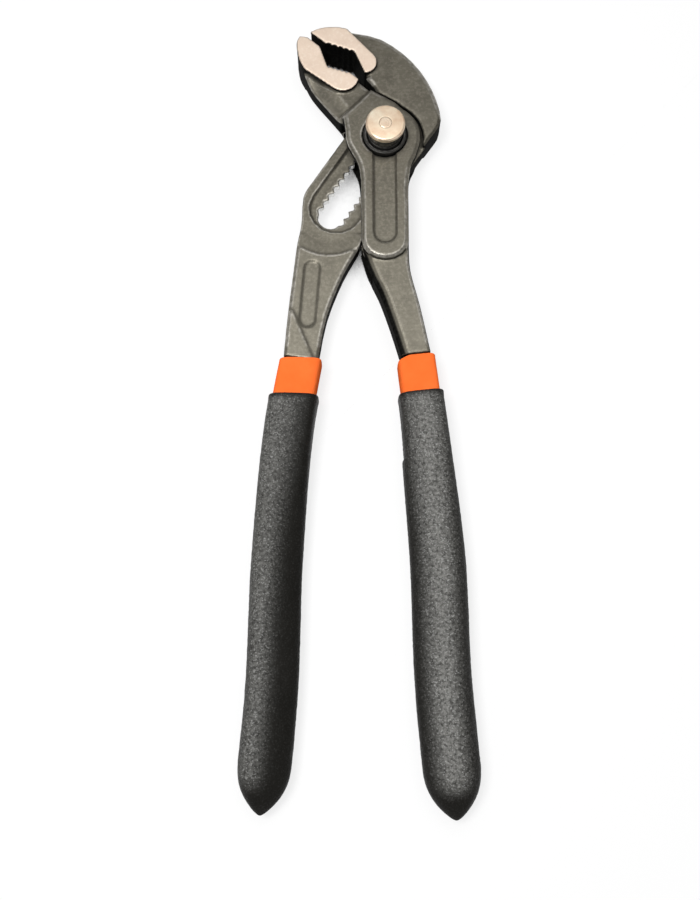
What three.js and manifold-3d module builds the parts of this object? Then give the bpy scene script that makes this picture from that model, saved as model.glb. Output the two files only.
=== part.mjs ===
// Push-button water-pump pliers with a box joint, in millimetres, +Z up, lying on their back.
// The parts are laid out round the pivot axis, with the levers' middle plane at z = 0, and the
// finished group is then set down with its origin in the middle of the surface that it lies on.

import * as THREE from 'three';
import { mergeVertices } from 'three/addons/utils/BufferGeometryUtils.js';
import Module from 'manifold-3d';

const wasm = await Module();
wasm.setup();

// Gap kept between neighbouring pieces, and the ease past the end of each swing
const CLEARANCE = 0.3;
const SWING_EASE = 1;

// Joint: thicknesses across the levers
const JOINT_THICKNESS = 13;
const WINDOW_HEIGHT = 6.8;
const PLATE_THICKNESS = 5.2;
const FRONT_POCKET_DEPTH = 0.9;
const BACK_POCKET_DEPTH = 1.8;
const JAW_THICKNESS = 10;
const PAD_THICKNESS = 12.6;
const BOX_NECK_THICKNESS = 10.4;
const SLOTTED_NECK_THICKNESS = 6.2;
const FORGED_EDGE = 0.8;
const CHEEK_EDGE = 1.1;

// Flanks of the box lever's neck: wide on the left, narrow on the right, and how far down they slope
const NECK_FLANK = { left: 2.4, right: 0.6, drop: 1.4 };

// Joint: swing of the slotted lever in degrees, opening and closing
const OPEN_ANGLE = 28;
const CLOSE_ANGLE = 2.2;

// Toothed slot: its lean from the length of the pliers, its teeth and its travel
const SLOT_LEAN = 33.2;
const SLOT_PITCH = 3;
const SLOT_TEETH = 11;
const SLOT_STEPS = 8;
const SLOT_GAP = 7.1;
const TOOTH_DEPTH = 1.45;
const SLOT_END_LENGTH = 2.8;
const POCKET_WIDTH = 17;
const POCKET_MARGIN = 1.3;

// Slotted plate: its two edges, measured square from the slot's middle line
const PLATE_LEFT = 11.6;
const PLATE_RIGHT = 12.4;
const PLATE_ABOVE_PIVOT = 12.5;
const PLATE_LEFT_LENGTH = 27;
const PLATE_RIGHT_LENGTH = 30;

// Cheeks of the box: round head, bar below it, and the ring groove that keeps the hook clear
const CHEEK_RADIUS = 11.6;
const HOOK_GROOVE = 0.9;
const NOSE_GAP = 0.6;
const CHEEK_ARC = { afterShoulder: 14, end: -15 };
const BAR_LEFT = -7.6;
const BAR_RIGHT = 7.4;
const BAR_START = -24;
const BAR_END = -43;
const BAR_END_HEIGHT = 6.5;
const FACE_RECESS_WIDTH = 7.3;
const FACE_RECESS_END = -37.5;
const FACE_RECESS_DEPTH = 0.8;

// Sprung pin, button and collar
const PIN_DIAMETER = 6.2;
const PIN_HEAD_THICKNESS = 2;
const PIN_HEAD_LENGTH = 6;
const PIN_HEAD_BITE = 1.15;
const RIVET_DIAMETER = 4;
const BUTTON_DIAMETER = 12.5;
const BUTTON_THICKNESS = 2.4;
const BUTTON_EDGE = 0.6;
const BUTTON_TRAVEL = 2.6;
const BUTTON_STAND = 2;
const STEM_DIAMETER = 11.2;
const STEM_WALL = 0.8;
const COLLAR_WALL = 1.1;
const COLLAR_LIP = 0.4;
const WASHER_THICKNESS = 0.6;
const SPRING_WIRE = 0.7;
const SPRING_CURLS = 3;

// Handles: dipped coats over the tangs
const GRIP_THICKNESS = 13;
const GRIP_SWELL_LENGTH = 55;
const GRIP_POINT_LENGTH = 16;
const SLEEVE_WALL = 0.8;
const LINER_WALL = 1;
const LINER_END = 2.5;
const BAND_LENGTH = 12.2;
const TANG_THICKNESS = 4.8;
const TANG_OVERLAP = 4;

// Distance from the pivot down to the tip of the longer handle
const HANDLES_END = 210.2;

// Handle lines from the end of each neck, with the place of the tip across and how much shorter it ends,
// and the sleeve's width at its mouth and belly
const LEFT_HANDLE = {
  line: [[-26.3, -74.6], [-29.8, -96.6], [-32.7, -136.6], [-33.7, -174.1]],
  tipAcross: -36.5,
  shorter: 1.3,
  mouthWidth: 15.2,
  gripWidth: 15.7,
};
const RIGHT_HANDLE = {
  line: [[9.1, -73.6], [11.6, -96.6], [14.7, -136.6], [15.6, -171]],
  tipAcross: 18.7,
  shorter: 0,
  mouthWidth: 14,
  gripWidth: 16.9,
};

// Slotted lever: back of the hook from the jaw's tip to the plate, root of the mouth, and neck
const HOOK_TIP = [[-24.4, 37.9], [-21, 39.5], [-16.1, 40], [-12.2, 39.3]];
const HOOK_BACK = [[-0.9, 36.6], [9.3, 28.2], [15.7, 17.7], [18.4, 6.7], [15.4, 0.6]];
const HOOK_GRIP = { near: [-19.1, 33.6], far: [-9.6, 30.2], heel: [-6.4, 22.7] };
const HOOK_ROOT = [[-6, 21.5], [-3.6, 18.4]];
const HOOK_PAD_END = { centre: [-6.4, 26.8], radius: 4.1 };
const HOOK_HEEL = [[13, -2.8], [6, -1]];
const PLATE_CORNER = [[-26.2, -20], [-26.8, -29.8]];
const NECK_STEP = { centre: [-17.9, -24.6], radius: 15.8 };
const LEFT_NECK_LEFT = [[-28.1, -37], [-29.2, -47.3], [-30.7, -61]];
const LEFT_NECK_RIGHT = [[-8.6, -38.5], [-13.3, -47.3], [-18.3, -60.7]];
const LEFT_NECK_END_WIDTH = 10.8;
const NECK_OVAL = { from: [-23.1, -44.6], to: [-24.4, -61.9], width: 5.2, depth: 0.6 };
const TANG_WEDGE = { points: [[-34, -59.2], [-28.9, -59.2], [-22.2, -75.6], [-34, -75.6]], rise: 0.4 };

// Box lever: jaw, nose of the cheeks and neck
const JAW_GRIP = { tip: [-25.2, 36.1], near: [-21.1, 32.6], far: [-18.7, 25.5], heel: [-11.5, 23.1] };
const JAW_MOUTH = [[-8.4, 20.5], [-4.4, 17]];
const JAW_TIP = [[-27.8, 36.4], [-28.8, 33.6], [-28, 28]];
const JAW_BACK = [[-26.6, 24.4], [-23.2, 18], [-17.8, 11], [-13.9, 6], [-12.2, 2]];
const JAW_PAD_CORNER = [-26.2, 24.2];
const JAW_PAD_END = { centre: [-13.5, 21.3], radius: 5.2 };
const CHEEK_NOSE = [[-13.5, 7.6], [-4.4, 17], [3.6, 12.3]];
const CHEEK_WAIST_RIGHT = [[9.8, -7.4], [8.3, -11], [7.5, -17.5]];
const CHEEK_WAIST_LEFT = [[-7.8, -16], [-8.5, -10.6], [-10.5, -6.2], [-12.3, -2.4], [-12.7, 2]];
const RIGHT_NECK_LEFT = [[-8, -37.5], [-5.7, -45.5], [-2.1, -53.4], [0.9, -62]];
const RIGHT_NECK_RIGHT = [[7.4, -37], [7.8, -46], [10.7, -58]];
const RIGHT_NECK_END_WIDTH = 9.3;

// Jaw teeth, and how far a forged body stays behind the ground edge of its pad
const JAW_TOOTH_COUNT = 5;
const JAW_TOOTH_DEPTH = 0.7;
const PAD_SETBACK = 1.2;

// Sections of coats and tangs: 2 is an ellipse and more is squarer; and how blunt the grips' points are
const BAND_SQUARENESS = 4.6;
const COAT_SQUARENESS = 2.6;
const TANG_SQUARENESS = 5;
const POINT_BLUNTNESS = 0.7;
const POINT_STATIONS = [0.12, 0.4, 0.65, 0.85, 0.97];

// Facets: points round a turned piece and round a handle, and steps along a handle and between curve points
const ROUND_SIDES = 32;
const HANDLE_SIDES = 20;
const HANDLE_STEPS = 7;
const CURVE_STEPS = 3;
const WINDOW_REACH = 60;

const BLACKED_STEEL = new THREE.MeshStandardMaterial({ color: 0x5d5a52, roughness: 0.45, metalness: 0.85 });
const BLACK_STEEL = new THREE.MeshStandardMaterial({ color: 0x1b1a19, roughness: 0.35, metalness: 0.8 });
const TURNED_STEEL = new THREE.MeshStandardMaterial({ color: 0xd8c4b0, roughness: 0.25, metalness: 0.95 });
const SPRING_STEEL = new THREE.MeshStandardMaterial({ color: 0x9a9a98, roughness: 0.3, metalness: 0.9 });
const ORANGE_COAT = new THREE.MeshStandardMaterial({ color: 0xff7a3c, roughness: 0.45, metalness: 0 });
const BLACK_COAT = new THREE.MeshStandardMaterial({ color: 0x2b2c2e, roughness: 0.7, metalness: 0 });

// Heights above the middle plane that several pieces share
const jointHalf = JOINT_THICKNESS / 2;
const windowHalf = WINDOW_HEIGHT / 2;
const plateHalf = PLATE_THICKNESS / 2;
const rimTop = plateHalf - FRONT_POCKET_DEPTH;
const rimBottom = BACK_POCKET_DEPTH - plateHalf;
const collarTop = jointHalf + COLLAR_LIP;
const buttonUnder = collarTop + BUTTON_TRAVEL + BUTTON_STAND;
const buttonTop = buttonUnder + BUTTON_THICKNESS;
const stemBottom = rimTop + CLEARANCE + BUTTON_TRAVEL;
const washerBottom = rimTop + CLEARANCE;
const springBottom = washerBottom + WASHER_THICKNESS + CLEARANCE;
const springTop = buttonUnder - CLEARANCE;
const pinHeadTop = rimBottom - CLEARANCE;
const pinHeadBottom = pinHeadTop - PIN_HEAD_THICKNESS;

// Radii round the pivot axis
const pinRadius = PIN_DIAMETER / 2;
const stemRadius = STEM_DIAMETER / 2;
const collarBore = stemRadius + CLEARANCE;
const collarRadius = collarBore + COLLAR_WALL;
const springInner = pinRadius + CLEARANCE;
const springOuter = stemRadius - STEM_WALL - CLEARANCE;

// Directions of the slot: down its length, and square to it towards the right
const lean = THREE.MathUtils.degToRad(SLOT_LEAN);
const slotDown = new THREE.Vector2(-Math.sin(lean), -Math.cos(lean));
const slotRight = new THREE.Vector2(Math.cos(lean), -Math.sin(lean));
const slotTravel = SLOT_PITCH * SLOT_STEPS;
const slotToothed = SLOT_PITCH * SLOT_TEETH;

// Closed geometry to solid and back
function solidOf(geometry) {
  geometry.deleteAttribute('normal');
  geometry.deleteAttribute('uv');
  const merged = mergeVertices(geometry, 1e-4);
  return new wasm.Manifold(new wasm.Mesh({
    numProp: 3,
    vertProperties: new Float32Array(merged.attributes.position.array),
    triVerts: new Uint32Array(merged.index.array),
  }));
}

function geometryOf(solid) {
  const mesh = solid.getMesh();
  const geometry = new THREE.BufferGeometry();
  geometry.setAttribute('position', new THREE.BufferAttribute(mesh.vertProperties, 3));
  geometry.setIndex(new THREE.BufferAttribute(mesh.triVerts, 1));
  geometry.computeVertexNormals();
  return geometry;
}

function vectors(points) {
  return points.map(([x, y]) => new THREE.Vector2(x, y));
}

// Points of a smooth line through a few given ones, both ends included
function smooth(points) {
  return new THREE.SplineCurve(points).getPoints((points.length - 1) * CURVE_STEPS);
}

function arcPoints(centre, radius, fromDegrees, toDegrees, steps) {
  const points = [];
  for (let i = 0; i <= steps; i += 1) {
    const angle = THREE.MathUtils.degToRad(fromDegrees + ((toDegrees - fromDegrees) * i) / steps);
    points.push(new THREE.Vector2(centre.x + radius * Math.cos(angle), centre.y + radius * Math.sin(angle)));
  }
  return points;
}

// A point given down the slot's length and square to it
function slotPoint(down, right) {
  return new THREE.Vector2().addScaledVector(slotDown, down).addScaledVector(slotRight, right);
}

// Straight-sided solid of an outline between two heights
function slab(points, bottom, top) {
  const shape = new THREE.Shape(points);
  const geometry = new THREE.ExtrudeGeometry(shape, { depth: top - bottom, bevelEnabled: false });
  geometry.translate(0, 0, bottom);
  return solidOf(geometry);
}

// Forged solid, alike on both sides of the middle plane, with sloped edges of a width and a drop
function forging(points, thickness, edge, drop = edge) {
  const geometry = new THREE.ExtrudeGeometry(new THREE.Shape(points), {
    depth: thickness - 2 * drop,
    bevelEnabled: true,
    bevelThickness: drop,
    bevelSize: edge,
    bevelOffset: -edge,
    bevelSegments: 1,
  });
  geometry.translate(0, 0, drop - thickness / 2);
  return solidOf(geometry);
}

// Round piece about the pivot axis from a closed profile of radius and height
function turned(profile) {
  const points = vectors([...profile, profile[0]]);
  const geometry = new THREE.LatheGeometry(points, ROUND_SIDES);
  geometry.rotateX(Math.PI / 2);
  return solidOf(geometry);
}

function disc(radius, bottom, top) {
  const geometry = new THREE.CylinderGeometry(radius, radius, top - bottom, ROUND_SIDES);
  geometry.rotateX(Math.PI / 2);
  geometry.translate(0, 0, (top + bottom) / 2);
  return solidOf(geometry);
}

// Edge of jaw teeth between two points, cut back to the left of the way it runs
function toothedEdge(from, to, count, depth) {
  const along = to.clone().sub(from);
  const inward = new THREE.Vector2(-along.y, along.x).normalize().multiplyScalar(depth);
  const points = [from.clone()];
  for (let i = 0; i < count; i += 1) {
    points.push(from.clone().addScaledVector(along, (i + 0.5) / count).add(inward));
    points.push(from.clone().addScaledVector(along, (i + 1) / count));
  }
  return points;
}

// Outline grown round a straight line between two points, with round ends
function stadium(from, to, radius, steps) {
  const heading = THREE.MathUtils.radToDeg(to.clone().sub(from).angle());
  const farEnd = arcPoints(to, radius, heading - 90, heading + 90, steps);
  const nearEnd = arcPoints(from, radius, heading + 90, heading + 270, steps);
  return [...farEnd, ...nearEnd];
}

// Handle: a line with the sections that lie square to it
function handleOf({ line, tipAcross, shorter, mouthWidth, gripWidth }) {
  const points = [...line, [tipAcross, shorter - HANDLES_END]].map(([x, y]) => new THREE.Vector3(x, y, 0));
  const curve = new THREE.CatmullRomCurve3(points, false, 'centripetal');
  return { curve, length: curve.getLength(), mouthHalf: mouthWidth / 2, gripHalf: gripWidth / 2 };
}

// Ring of points round a handle's line, at a distance along it, with the given half sizes
function handleRing(handle, distance, halfWidth, halfThickness, squareness) {
  const part = THREE.MathUtils.clamp(distance / handle.length, 0, 1);
  const along = handle.curve.getTangentAt(part);
  const middle = handle.curve.getPointAt(part);
  middle.addScaledVector(along, distance - part * handle.length);
  const ring = [];
  for (let i = 0; i < HANDLE_SIDES; i += 1) {
    const angle = (2 * Math.PI * (i + 0.5)) / HANDLE_SIDES;
    const across = Math.sign(Math.cos(angle)) * Math.abs(Math.cos(angle)) ** (2 / squareness);
    const up = Math.sign(Math.sin(angle)) * Math.abs(Math.sin(angle)) ** (2 / squareness);
    ring.push(new THREE.Vector3(
      middle.x - along.y * halfWidth * across,
      middle.y + along.x * halfWidth * across,
      halfThickness * up,
    ));
  }
  return ring;
}

// Closed surface over a row of rings of equal count, with a fan over the first and the last one
function skinOver(rings) {
  const count = rings[0].length;
  const positions = rings.flat().flatMap((point) => point.toArray());
  const indices = [];
  for (let r = 0; r + 1 < rings.length; r += 1) {
    for (let i = 0; i < count; i += 1) {
      const a = r * count + i;
      const b = r * count + ((i + 1) % count);
      indices.push(a, b, a + count, b, b + count, a + count);
    }
  }
  for (const ring of [0, rings.length - 1]) {
    const total = rings[ring].reduce((sum, point) => sum.add(point), new THREE.Vector3());
    const middle = total.divideScalar(count);
    const centre = positions.length / 3;
    positions.push(...middle.toArray());
    for (let i = 0; i < count; i += 1) {
      const a = ring * count + i;
      const b = ring * count + ((i + 1) % count);
      indices.push(...(ring === 0 ? [b, a, centre] : [a, b, centre]));
    }
  }
  const geometry = new THREE.BufferGeometry();
  geometry.setAttribute('position', new THREE.Float32BufferAttribute(positions, 3));
  geometry.setIndex(indices);
  return geometry;
}

// Half sizes of a coat at a distance along its handle, drawn in by what lies over it
function coatSize(handle, distance, inset) {
  const swell = THREE.MathUtils.smoothstep(distance - BAND_LENGTH, 0, GRIP_SWELL_LENGTH);
  const width = THREE.MathUtils.lerp(handle.mouthHalf, handle.gripHalf, swell);
  return { width: width - inset, thickness: GRIP_THICKNESS / 2 - inset };
}

// Section of a coat: boxy on the band, and fuller where the grip has swollen
function coatSquareness(distance) {
  const swell = THREE.MathUtils.smoothstep(distance - BAND_LENGTH, 0, GRIP_SWELL_LENGTH);
  return THREE.MathUtils.lerp(BAND_SQUARENESS, COAT_SQUARENESS, swell);
}

const linerInset = SLEEVE_WALL + CLEARANCE;

function tangHalfWidth(handle) {
  return handle.mouthHalf - linerInset - LINER_WALL - CLEARANCE;
}

function linerEnd(handle) {
  return handle.length - GRIP_POINT_LENGTH - CLEARANCE;
}

function tangEnd(handle) {
  return linerEnd(handle) - LINER_END;
}

// Rings of a coat's outer or inner side between two distances
function coatRings(handle, from, to, inset) {
  const rings = [];
  for (let i = 0; i <= HANDLE_STEPS; i += 1) {
    const distance = THREE.MathUtils.lerp(from, to, i / HANDLE_STEPS);
    const size = coatSize(handle, distance, inset);
    rings.push(handleRing(handle, distance, size.width, size.thickness, coatSquareness(distance)));
  }
  return rings;
}

// Tang of a lever, running from inside its neck to near the end of the liner
function tang(handle, grown = 0) {
  const rings = [];
  for (let i = 0; i <= HANDLE_STEPS; i += 1) {
    const distance = THREE.MathUtils.lerp(grown ? 0 : -TANG_OVERLAP, tangEnd(handle), i / HANDLE_STEPS);
    const width = tangHalfWidth(handle) + grown;
    rings.push(handleRing(handle, distance, width, TANG_THICKNESS / 2 + grown, TANG_SQUARENESS));
  }
  return rings;
}

// Inner coat: a blind tube over the tang
function gripLiner(handle) {
  const outside = coatRings(handle, CLEARANCE, linerEnd(handle), linerInset);
  const cavity = tang(handle, CLEARANCE);
  cavity[0] = handleRing(handle, CLEARANCE, tangHalfWidth(handle) + CLEARANCE,
    TANG_THICKNESS / 2 + CLEARANCE, TANG_SQUARENESS);
  cavity.push(handleRing(handle, tangEnd(handle) + CLEARANCE, tangHalfWidth(handle),
    TANG_THICKNESS / 2, TANG_SQUARENESS));
  return skinOver([...cavity.reverse(), ...outside]);
}

// Outer coat: a blind tube over the liner, closed by a blunt point
function gripSleeve(handle) {
  const mouth = BAND_LENGTH;
  const pointStart = handle.length - GRIP_POINT_LENGTH;
  const outside = coatRings(handle, mouth, pointStart, 0);
  const full = coatSize(handle, pointStart, 0);
  for (const station of POINT_STATIONS) {
    const share = (1 - station ** 2) ** POINT_BLUNTNESS;
    const distance = pointStart + GRIP_POINT_LENGTH * station;
    outside.push(handleRing(handle, distance, full.width * share, full.thickness * share, COAT_SQUARENESS));
  }
  const cavity = coatRings(handle, mouth, linerEnd(handle) + CLEARANCE, SLEEVE_WALL);
  return skinOver([...cavity.reverse(), ...outside]);
}

// A point beside the end of a neck, given past it along the handle and square to that
function neckEnd(handle, past, across) {
  const along = handle.curve.getTangentAt(0);
  const start = handle.curve.getPointAt(0);
  return new THREE.Vector2(start.x + along.x * past - along.y * across,
    start.y + along.y * past + along.x * across);
}

// Solid of everything just past the end of a neck, which squares that end off
function pastNeck(handle, width, thickness) {
  const corners = [neckEnd(handle, 0, -width), neckEnd(handle, width, -width),
    neckEnd(handle, width, width), neckEnd(handle, 0, width)];
  return slab(corners, -thickness, thickness);
}

const leftHandle = handleOf(LEFT_HANDLE);
const rightHandle = handleOf(RIGHT_HANDLE);

// Outline of the slotted lever's neck, from below the plate to its shoulder
function leftNeckOutline() {
  const half = LEFT_NECK_END_WIDTH / 2;
  const leftEdge = smooth([...vectors(LEFT_NECK_LEFT), neckEnd(leftHandle, FORGED_EDGE, -half)]);
  const rightEdge = smooth([neckEnd(leftHandle, FORGED_EDGE, half), ...vectors(LEFT_NECK_RIGHT).reverse()]);
  return [...leftEdge, ...rightEdge];
}

// Ground pad of the hook jaw, with its teeth
function hookPadOutline() {
  const tip = smooth(vectors(HOOK_TIP));
  const [near, far, heel] = vectors([HOOK_GRIP.near, HOOK_GRIP.far, HOOK_GRIP.heel]);
  const [endX, endY] = HOOK_PAD_END.centre;
  const roundEnd = arcPoints(new THREE.Vector2(endX, endY), HOOK_PAD_END.radius, 45, -80, ROUND_SIDES / 4);
  const teeth = toothedEdge(near, far, JAW_TOOTH_COUNT, JAW_TOOTH_DEPTH);
  return [...tip, ...roundEnd, heel, ...teeth.reverse()];
}

// Ground pad of the box lever's jaw, with its teeth
function jawPadOutline() {
  const [tipPoint, near, far, heel] = vectors([JAW_GRIP.tip, JAW_GRIP.near, JAW_GRIP.far, JAW_GRIP.heel]);
  const [endX, endY] = JAW_PAD_END.centre;
  const roundEnd = arcPoints(new THREE.Vector2(endX, endY), JAW_PAD_END.radius, -125, -10, ROUND_SIDES / 4);
  const outer = smooth([...vectors(JAW_TIP), ...vectors([JAW_PAD_CORNER])]);
  const teeth = toothedEdge(heel, far, JAW_TOOTH_COUNT, JAW_TOOTH_DEPTH);
  return [tipPoint, ...outer, ...roundEnd, ...vectors(JAW_MOUTH).slice(0, 1), ...teeth, near];
}

// Long toothed slot, as an outline in the plate
function slotOutline() {
  const half = SLOT_GAP / 2;
  const left = [];
  const right = [];
  for (let i = 0; i <= SLOT_TEETH; i += 1) {
    left.push(slotPoint(i * SLOT_PITCH, -half));
    right.push(slotPoint(i * SLOT_PITCH, half));
    if (i < SLOT_TEETH) {
      left.push(slotPoint((i + 0.5) * SLOT_PITCH, -half - TOOTH_DEPTH));
      right.push(slotPoint((i + 0.5) * SLOT_PITCH, half + TOOTH_DEPTH));
    }
  }
  const top = [];
  const bottom = [];
  const steps = ROUND_SIDES / 4;
  for (let i = 1; i < steps; i += 1) {
    const angle = (Math.PI * i) / steps;
    top.push(slotPoint(-half * Math.sin(angle), half * Math.cos(angle)));
    bottom.push(slotPoint(slotToothed + SLOT_END_LENGTH * Math.sin(angle), -half * Math.cos(angle)));
  }
  return [...left, ...bottom, ...right.reverse(), ...top];
}

// Thin blade of the slotted lever: plate, and the core of hook and neck
function bladeOutline() {
  const half = LEFT_NECK_END_WIDTH / 2 - FORGED_EDGE / 2;
  const leftEdge = smooth([slotPoint(PLATE_LEFT_LENGTH, -PLATE_LEFT), ...vectors(PLATE_CORNER),
    ...vectors(LEFT_NECK_LEFT), neckEnd(leftHandle, 0, -half)]);
  const rightEdge = smooth([neckEnd(leftHandle, 0, half), ...vectors(LEFT_NECK_RIGHT).reverse()]);
  const back = smooth(vectors([HOOK_TIP[3], ...HOOK_BACK]));
  return [
    ...vectors(HOOK_ROOT),
    slotPoint(-PLATE_ABOVE_PIVOT, -PLATE_LEFT),
    ...leftEdge,
    ...rightEdge,
    slotPoint(PLATE_RIGHT_LENGTH, PLATE_RIGHT),
    ...back.reverse(),
    ...hookInside(),
  ];
}

// Line inside the hook's pad where the forged body stops, from the tip to the heel
function hookInside() {
  const [tip, near, far, heel] = vectors([HOOK_TIP[0], HOOK_GRIP.near, HOOK_GRIP.far, HOOK_GRIP.heel]);
  return [
    new THREE.Vector2(tip.x + 2 * PAD_SETBACK, tip.y),
    new THREE.Vector2(near.x + PAD_SETBACK / 2, near.y + PAD_SETBACK),
    new THREE.Vector2(far.x + PAD_SETBACK, far.y + PAD_SETBACK),
    new THREE.Vector2(heel.x + PAD_SETBACK, heel.y),
  ];
}

function hookOutline() {
  const back = smooth(vectors([HOOK_TIP[3], ...HOOK_BACK]));
  return [...vectors(HOOK_ROOT), ...vectors(HOOK_HEEL).reverse(), ...back.reverse(), ...hookInside()];
}

// Room that the cheeks need beside the hook: their round head, their nose, and the shoulder between them,
// which the hook passes as the jaws close
function cheekRoom() {
  const [, nose, shoulder] = vectors(CHEEK_NOSE);
  const away = shoulder.clone().sub(nose);
  const gap = new THREE.Vector2(-away.y, away.x).normalize().multiplyScalar(NOSE_GAP);
  const pivot = new THREE.Vector2(0, 0);
  const closing = THREE.MathUtils.degToRad(CLOSE_ANGLE + SWING_EASE);
  const headStart = THREE.MathUtils.degToRad(CHEEK_ARC.afterShoulder);
  const passed = shoulder.clone().rotateAround(pivot, -closing).setLength(shoulder.length() + CLEARANCE);
  const head = shoulder.clone().rotateAround(pivot, -headStart).setLength(CHEEK_RADIUS + HOOK_GROOVE);
  const points = [nose.clone().add(gap), new THREE.Vector2(-CHEEK_RADIUS, 0), pivot, head, passed,
    shoulder.clone().add(gap)];
  const round = disc(CHEEK_RADIUS + HOOK_GROOVE, -JAW_THICKNESS, JAW_THICKNESS);
  return round.add(slab(points, -JAW_THICKNESS, JAW_THICKNESS));
}

function slottedLever() {
  const pocketRadius = POCKET_WIDTH / 2;
  const pocketEnd = slotToothed + SLOT_END_LENGTH + POCKET_MARGIN - pocketRadius;
  const pocket = stadium(slotPoint(0, 0), slotPoint(pocketEnd, 0), pocketRadius, ROUND_SIDES / 4);
  const neckHalf = SLOTTED_NECK_THICKNESS / 2;
  const [ovalFrom, ovalTo] = vectors([NECK_OVAL.from, NECK_OVAL.to]);
  const oval = stadium(ovalFrom, ovalTo, NECK_OVAL.width / 2, ROUND_SIDES / 4);
  const wedge = vectors(TANG_WEDGE.points);
  const step = disc(NECK_STEP.radius, -SLOTTED_NECK_THICKNESS, SLOTTED_NECK_THICKNESS)
    .translate([...NECK_STEP.centre, 0]);
  const neck = forging(leftNeckOutline(), SLOTTED_NECK_THICKNESS, FORGED_EDGE)
    .subtract(step)
    .subtract(pastNeck(leftHandle, LEFT_NECK_END_WIDTH, SLOTTED_NECK_THICKNESS))
    .subtract(slab(oval, neckHalf - NECK_OVAL.depth, SLOTTED_NECK_THICKNESS));
  const wedgeThickness = SLOTTED_NECK_THICKNESS + 2 * TANG_WEDGE.rise;
  const tangFoot = forging(leftNeckOutline(), wedgeThickness, FORGED_EDGE)
    .intersect(slab(wedge, -wedgeThickness, wedgeThickness))
    .subtract(pastNeck(leftHandle, LEFT_NECK_END_WIDTH, wedgeThickness));
  const hook = forging(hookOutline(), JAW_THICKNESS, FORGED_EDGE).subtract(cheekRoom());
  return slab(bladeOutline(), -plateHalf, plateHalf)
    .subtract(slab(pocket, rimTop, PLATE_THICKNESS))
    .subtract(slab(pocket, -PLATE_THICKNESS, rimBottom))
    .subtract(slab(slotOutline(), -PLATE_THICKNESS, PLATE_THICKNESS))
    .add(neck)
    .add(tangFoot)
    .add(hook)
    .add(slab(hookPadOutline(), -PAD_THICKNESS / 2, PAD_THICKNESS / 2))
    .add(solidOf(skinOver(tang(leftHandle))));
}

function cheekOutline() {
  const nose = vectors(CHEEK_NOSE);
  const shoulder = nose[2];
  const from = THREE.MathUtils.radToDeg(shoulder.angle()) - CHEEK_ARC.afterShoulder;
  const head = arcPoints(new THREE.Vector2(0, 0), CHEEK_RADIUS, from, CHEEK_ARC.end, ROUND_SIDES / 4);
  const waistRight = smooth(vectors([...CHEEK_WAIST_RIGHT, [BAR_RIGHT, BAR_START]]));
  const middle = (BAR_LEFT + BAR_RIGHT) / 2;
  const half = (BAR_RIGHT - BAR_LEFT) / 2;
  const end = [];
  const steps = ROUND_SIDES / 4;
  for (let i = 0; i <= steps; i += 1) {
    const angle = (Math.PI * i) / steps;
    end.push(new THREE.Vector2(middle + half * Math.cos(angle),
      BAR_END + BAR_END_HEIGHT * (1 - Math.sin(angle))));
  }
  const waistLeft = smooth(vectors(CHEEK_WAIST_LEFT));
  return [...nose, ...head, ...waistRight, ...end, ...waistLeft];
}

// Body of the box lever's jaw, which stops inside its ground pad
function jawOutline() {
  const [tip, near, far, heel] = vectors([JAW_GRIP.tip, JAW_GRIP.near, JAW_GRIP.far, JAW_GRIP.heel]);
  const back = smooth(vectors([JAW_TIP[2], ...JAW_BACK]));
  return [
    new THREE.Vector2(tip.x - PAD_SETBACK, tip.y - 2 * PAD_SETBACK),
    new THREE.Vector2(JAW_TIP[1][0] + PAD_SETBACK, JAW_TIP[1][1]),
    ...back,
    new THREE.Vector2(0, 0),
    ...vectors(JAW_MOUTH).reverse(),
    new THREE.Vector2(heel.x - PAD_SETBACK / 2, heel.y - PAD_SETBACK),
    new THREE.Vector2(far.x - PAD_SETBACK, far.y - PAD_SETBACK),
    new THREE.Vector2(near.x - PAD_SETBACK, near.y),
  ];
}

// Neck of the box lever: eight-sided sections between its two edges, with a wide slope on the left
function boxNeck() {
  const half = RIGHT_NECK_END_WIDTH / 2;
  const top = BOX_NECK_THICKNESS / 2;
  const side = top - NECK_FLANK.drop;
  const steps = RIGHT_NECK_LEFT.length * CURVE_STEPS;
  const leftLine = new THREE.SplineCurve([...vectors(RIGHT_NECK_LEFT), neckEnd(rightHandle, 0, -half)]);
  const rightLine = new THREE.SplineCurve([...vectors(RIGHT_NECK_RIGHT), neckEnd(rightHandle, 0, half)]);
  const rightEdge = rightLine.getPoints(steps);
  const sections = leftLine.getPoints(steps).map((left, i) => {
    const right = rightEdge[i];
    const across = right.clone().sub(left).normalize();
    const leftTop = left.clone().addScaledVector(across, NECK_FLANK.left);
    const rightTop = right.clone().addScaledVector(across, -NECK_FLANK.right);
    const corners = [[right, -side], [right, side], [rightTop, top], [leftTop, top],
      [left, side], [left, -side], [leftTop, -top], [rightTop, -top]];
    return corners.map(([point, z]) => new THREE.Vector3(point.x, point.y, z));
  });
  return solidOf(skinOver(sections));
}

// Window between the cheeks: the room that the plate and neck sweep as they swing and shift
function leverWindow() {
  const left = -PLATE_LEFT - CLEARANCE;
  const right = PLATE_RIGHT + CLEARANCE;
  const strip = slab([slotPoint(-WINDOW_REACH, left), slotPoint(WINDOW_REACH, left),
    slotPoint(WINDOW_REACH, right), slotPoint(-WINDOW_REACH, right)], -windowHalf, windowHalf);
  const closing = CLOSE_ANGLE + SWING_EASE;
  const opening = -OPEN_ANGLE - SWING_EASE;
  const shift = slotDown.clone().multiplyScalar(-slotTravel);
  const shifted = slab(bladeOutline(), -windowHalf, windowHalf).translate([shift.x, shift.y, 0]);
  return strip.rotate([0, 0, closing])
    .add(strip.rotate([0, 0, opening]))
    .add(shifted.rotate([0, 0, closing]));
}

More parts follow.
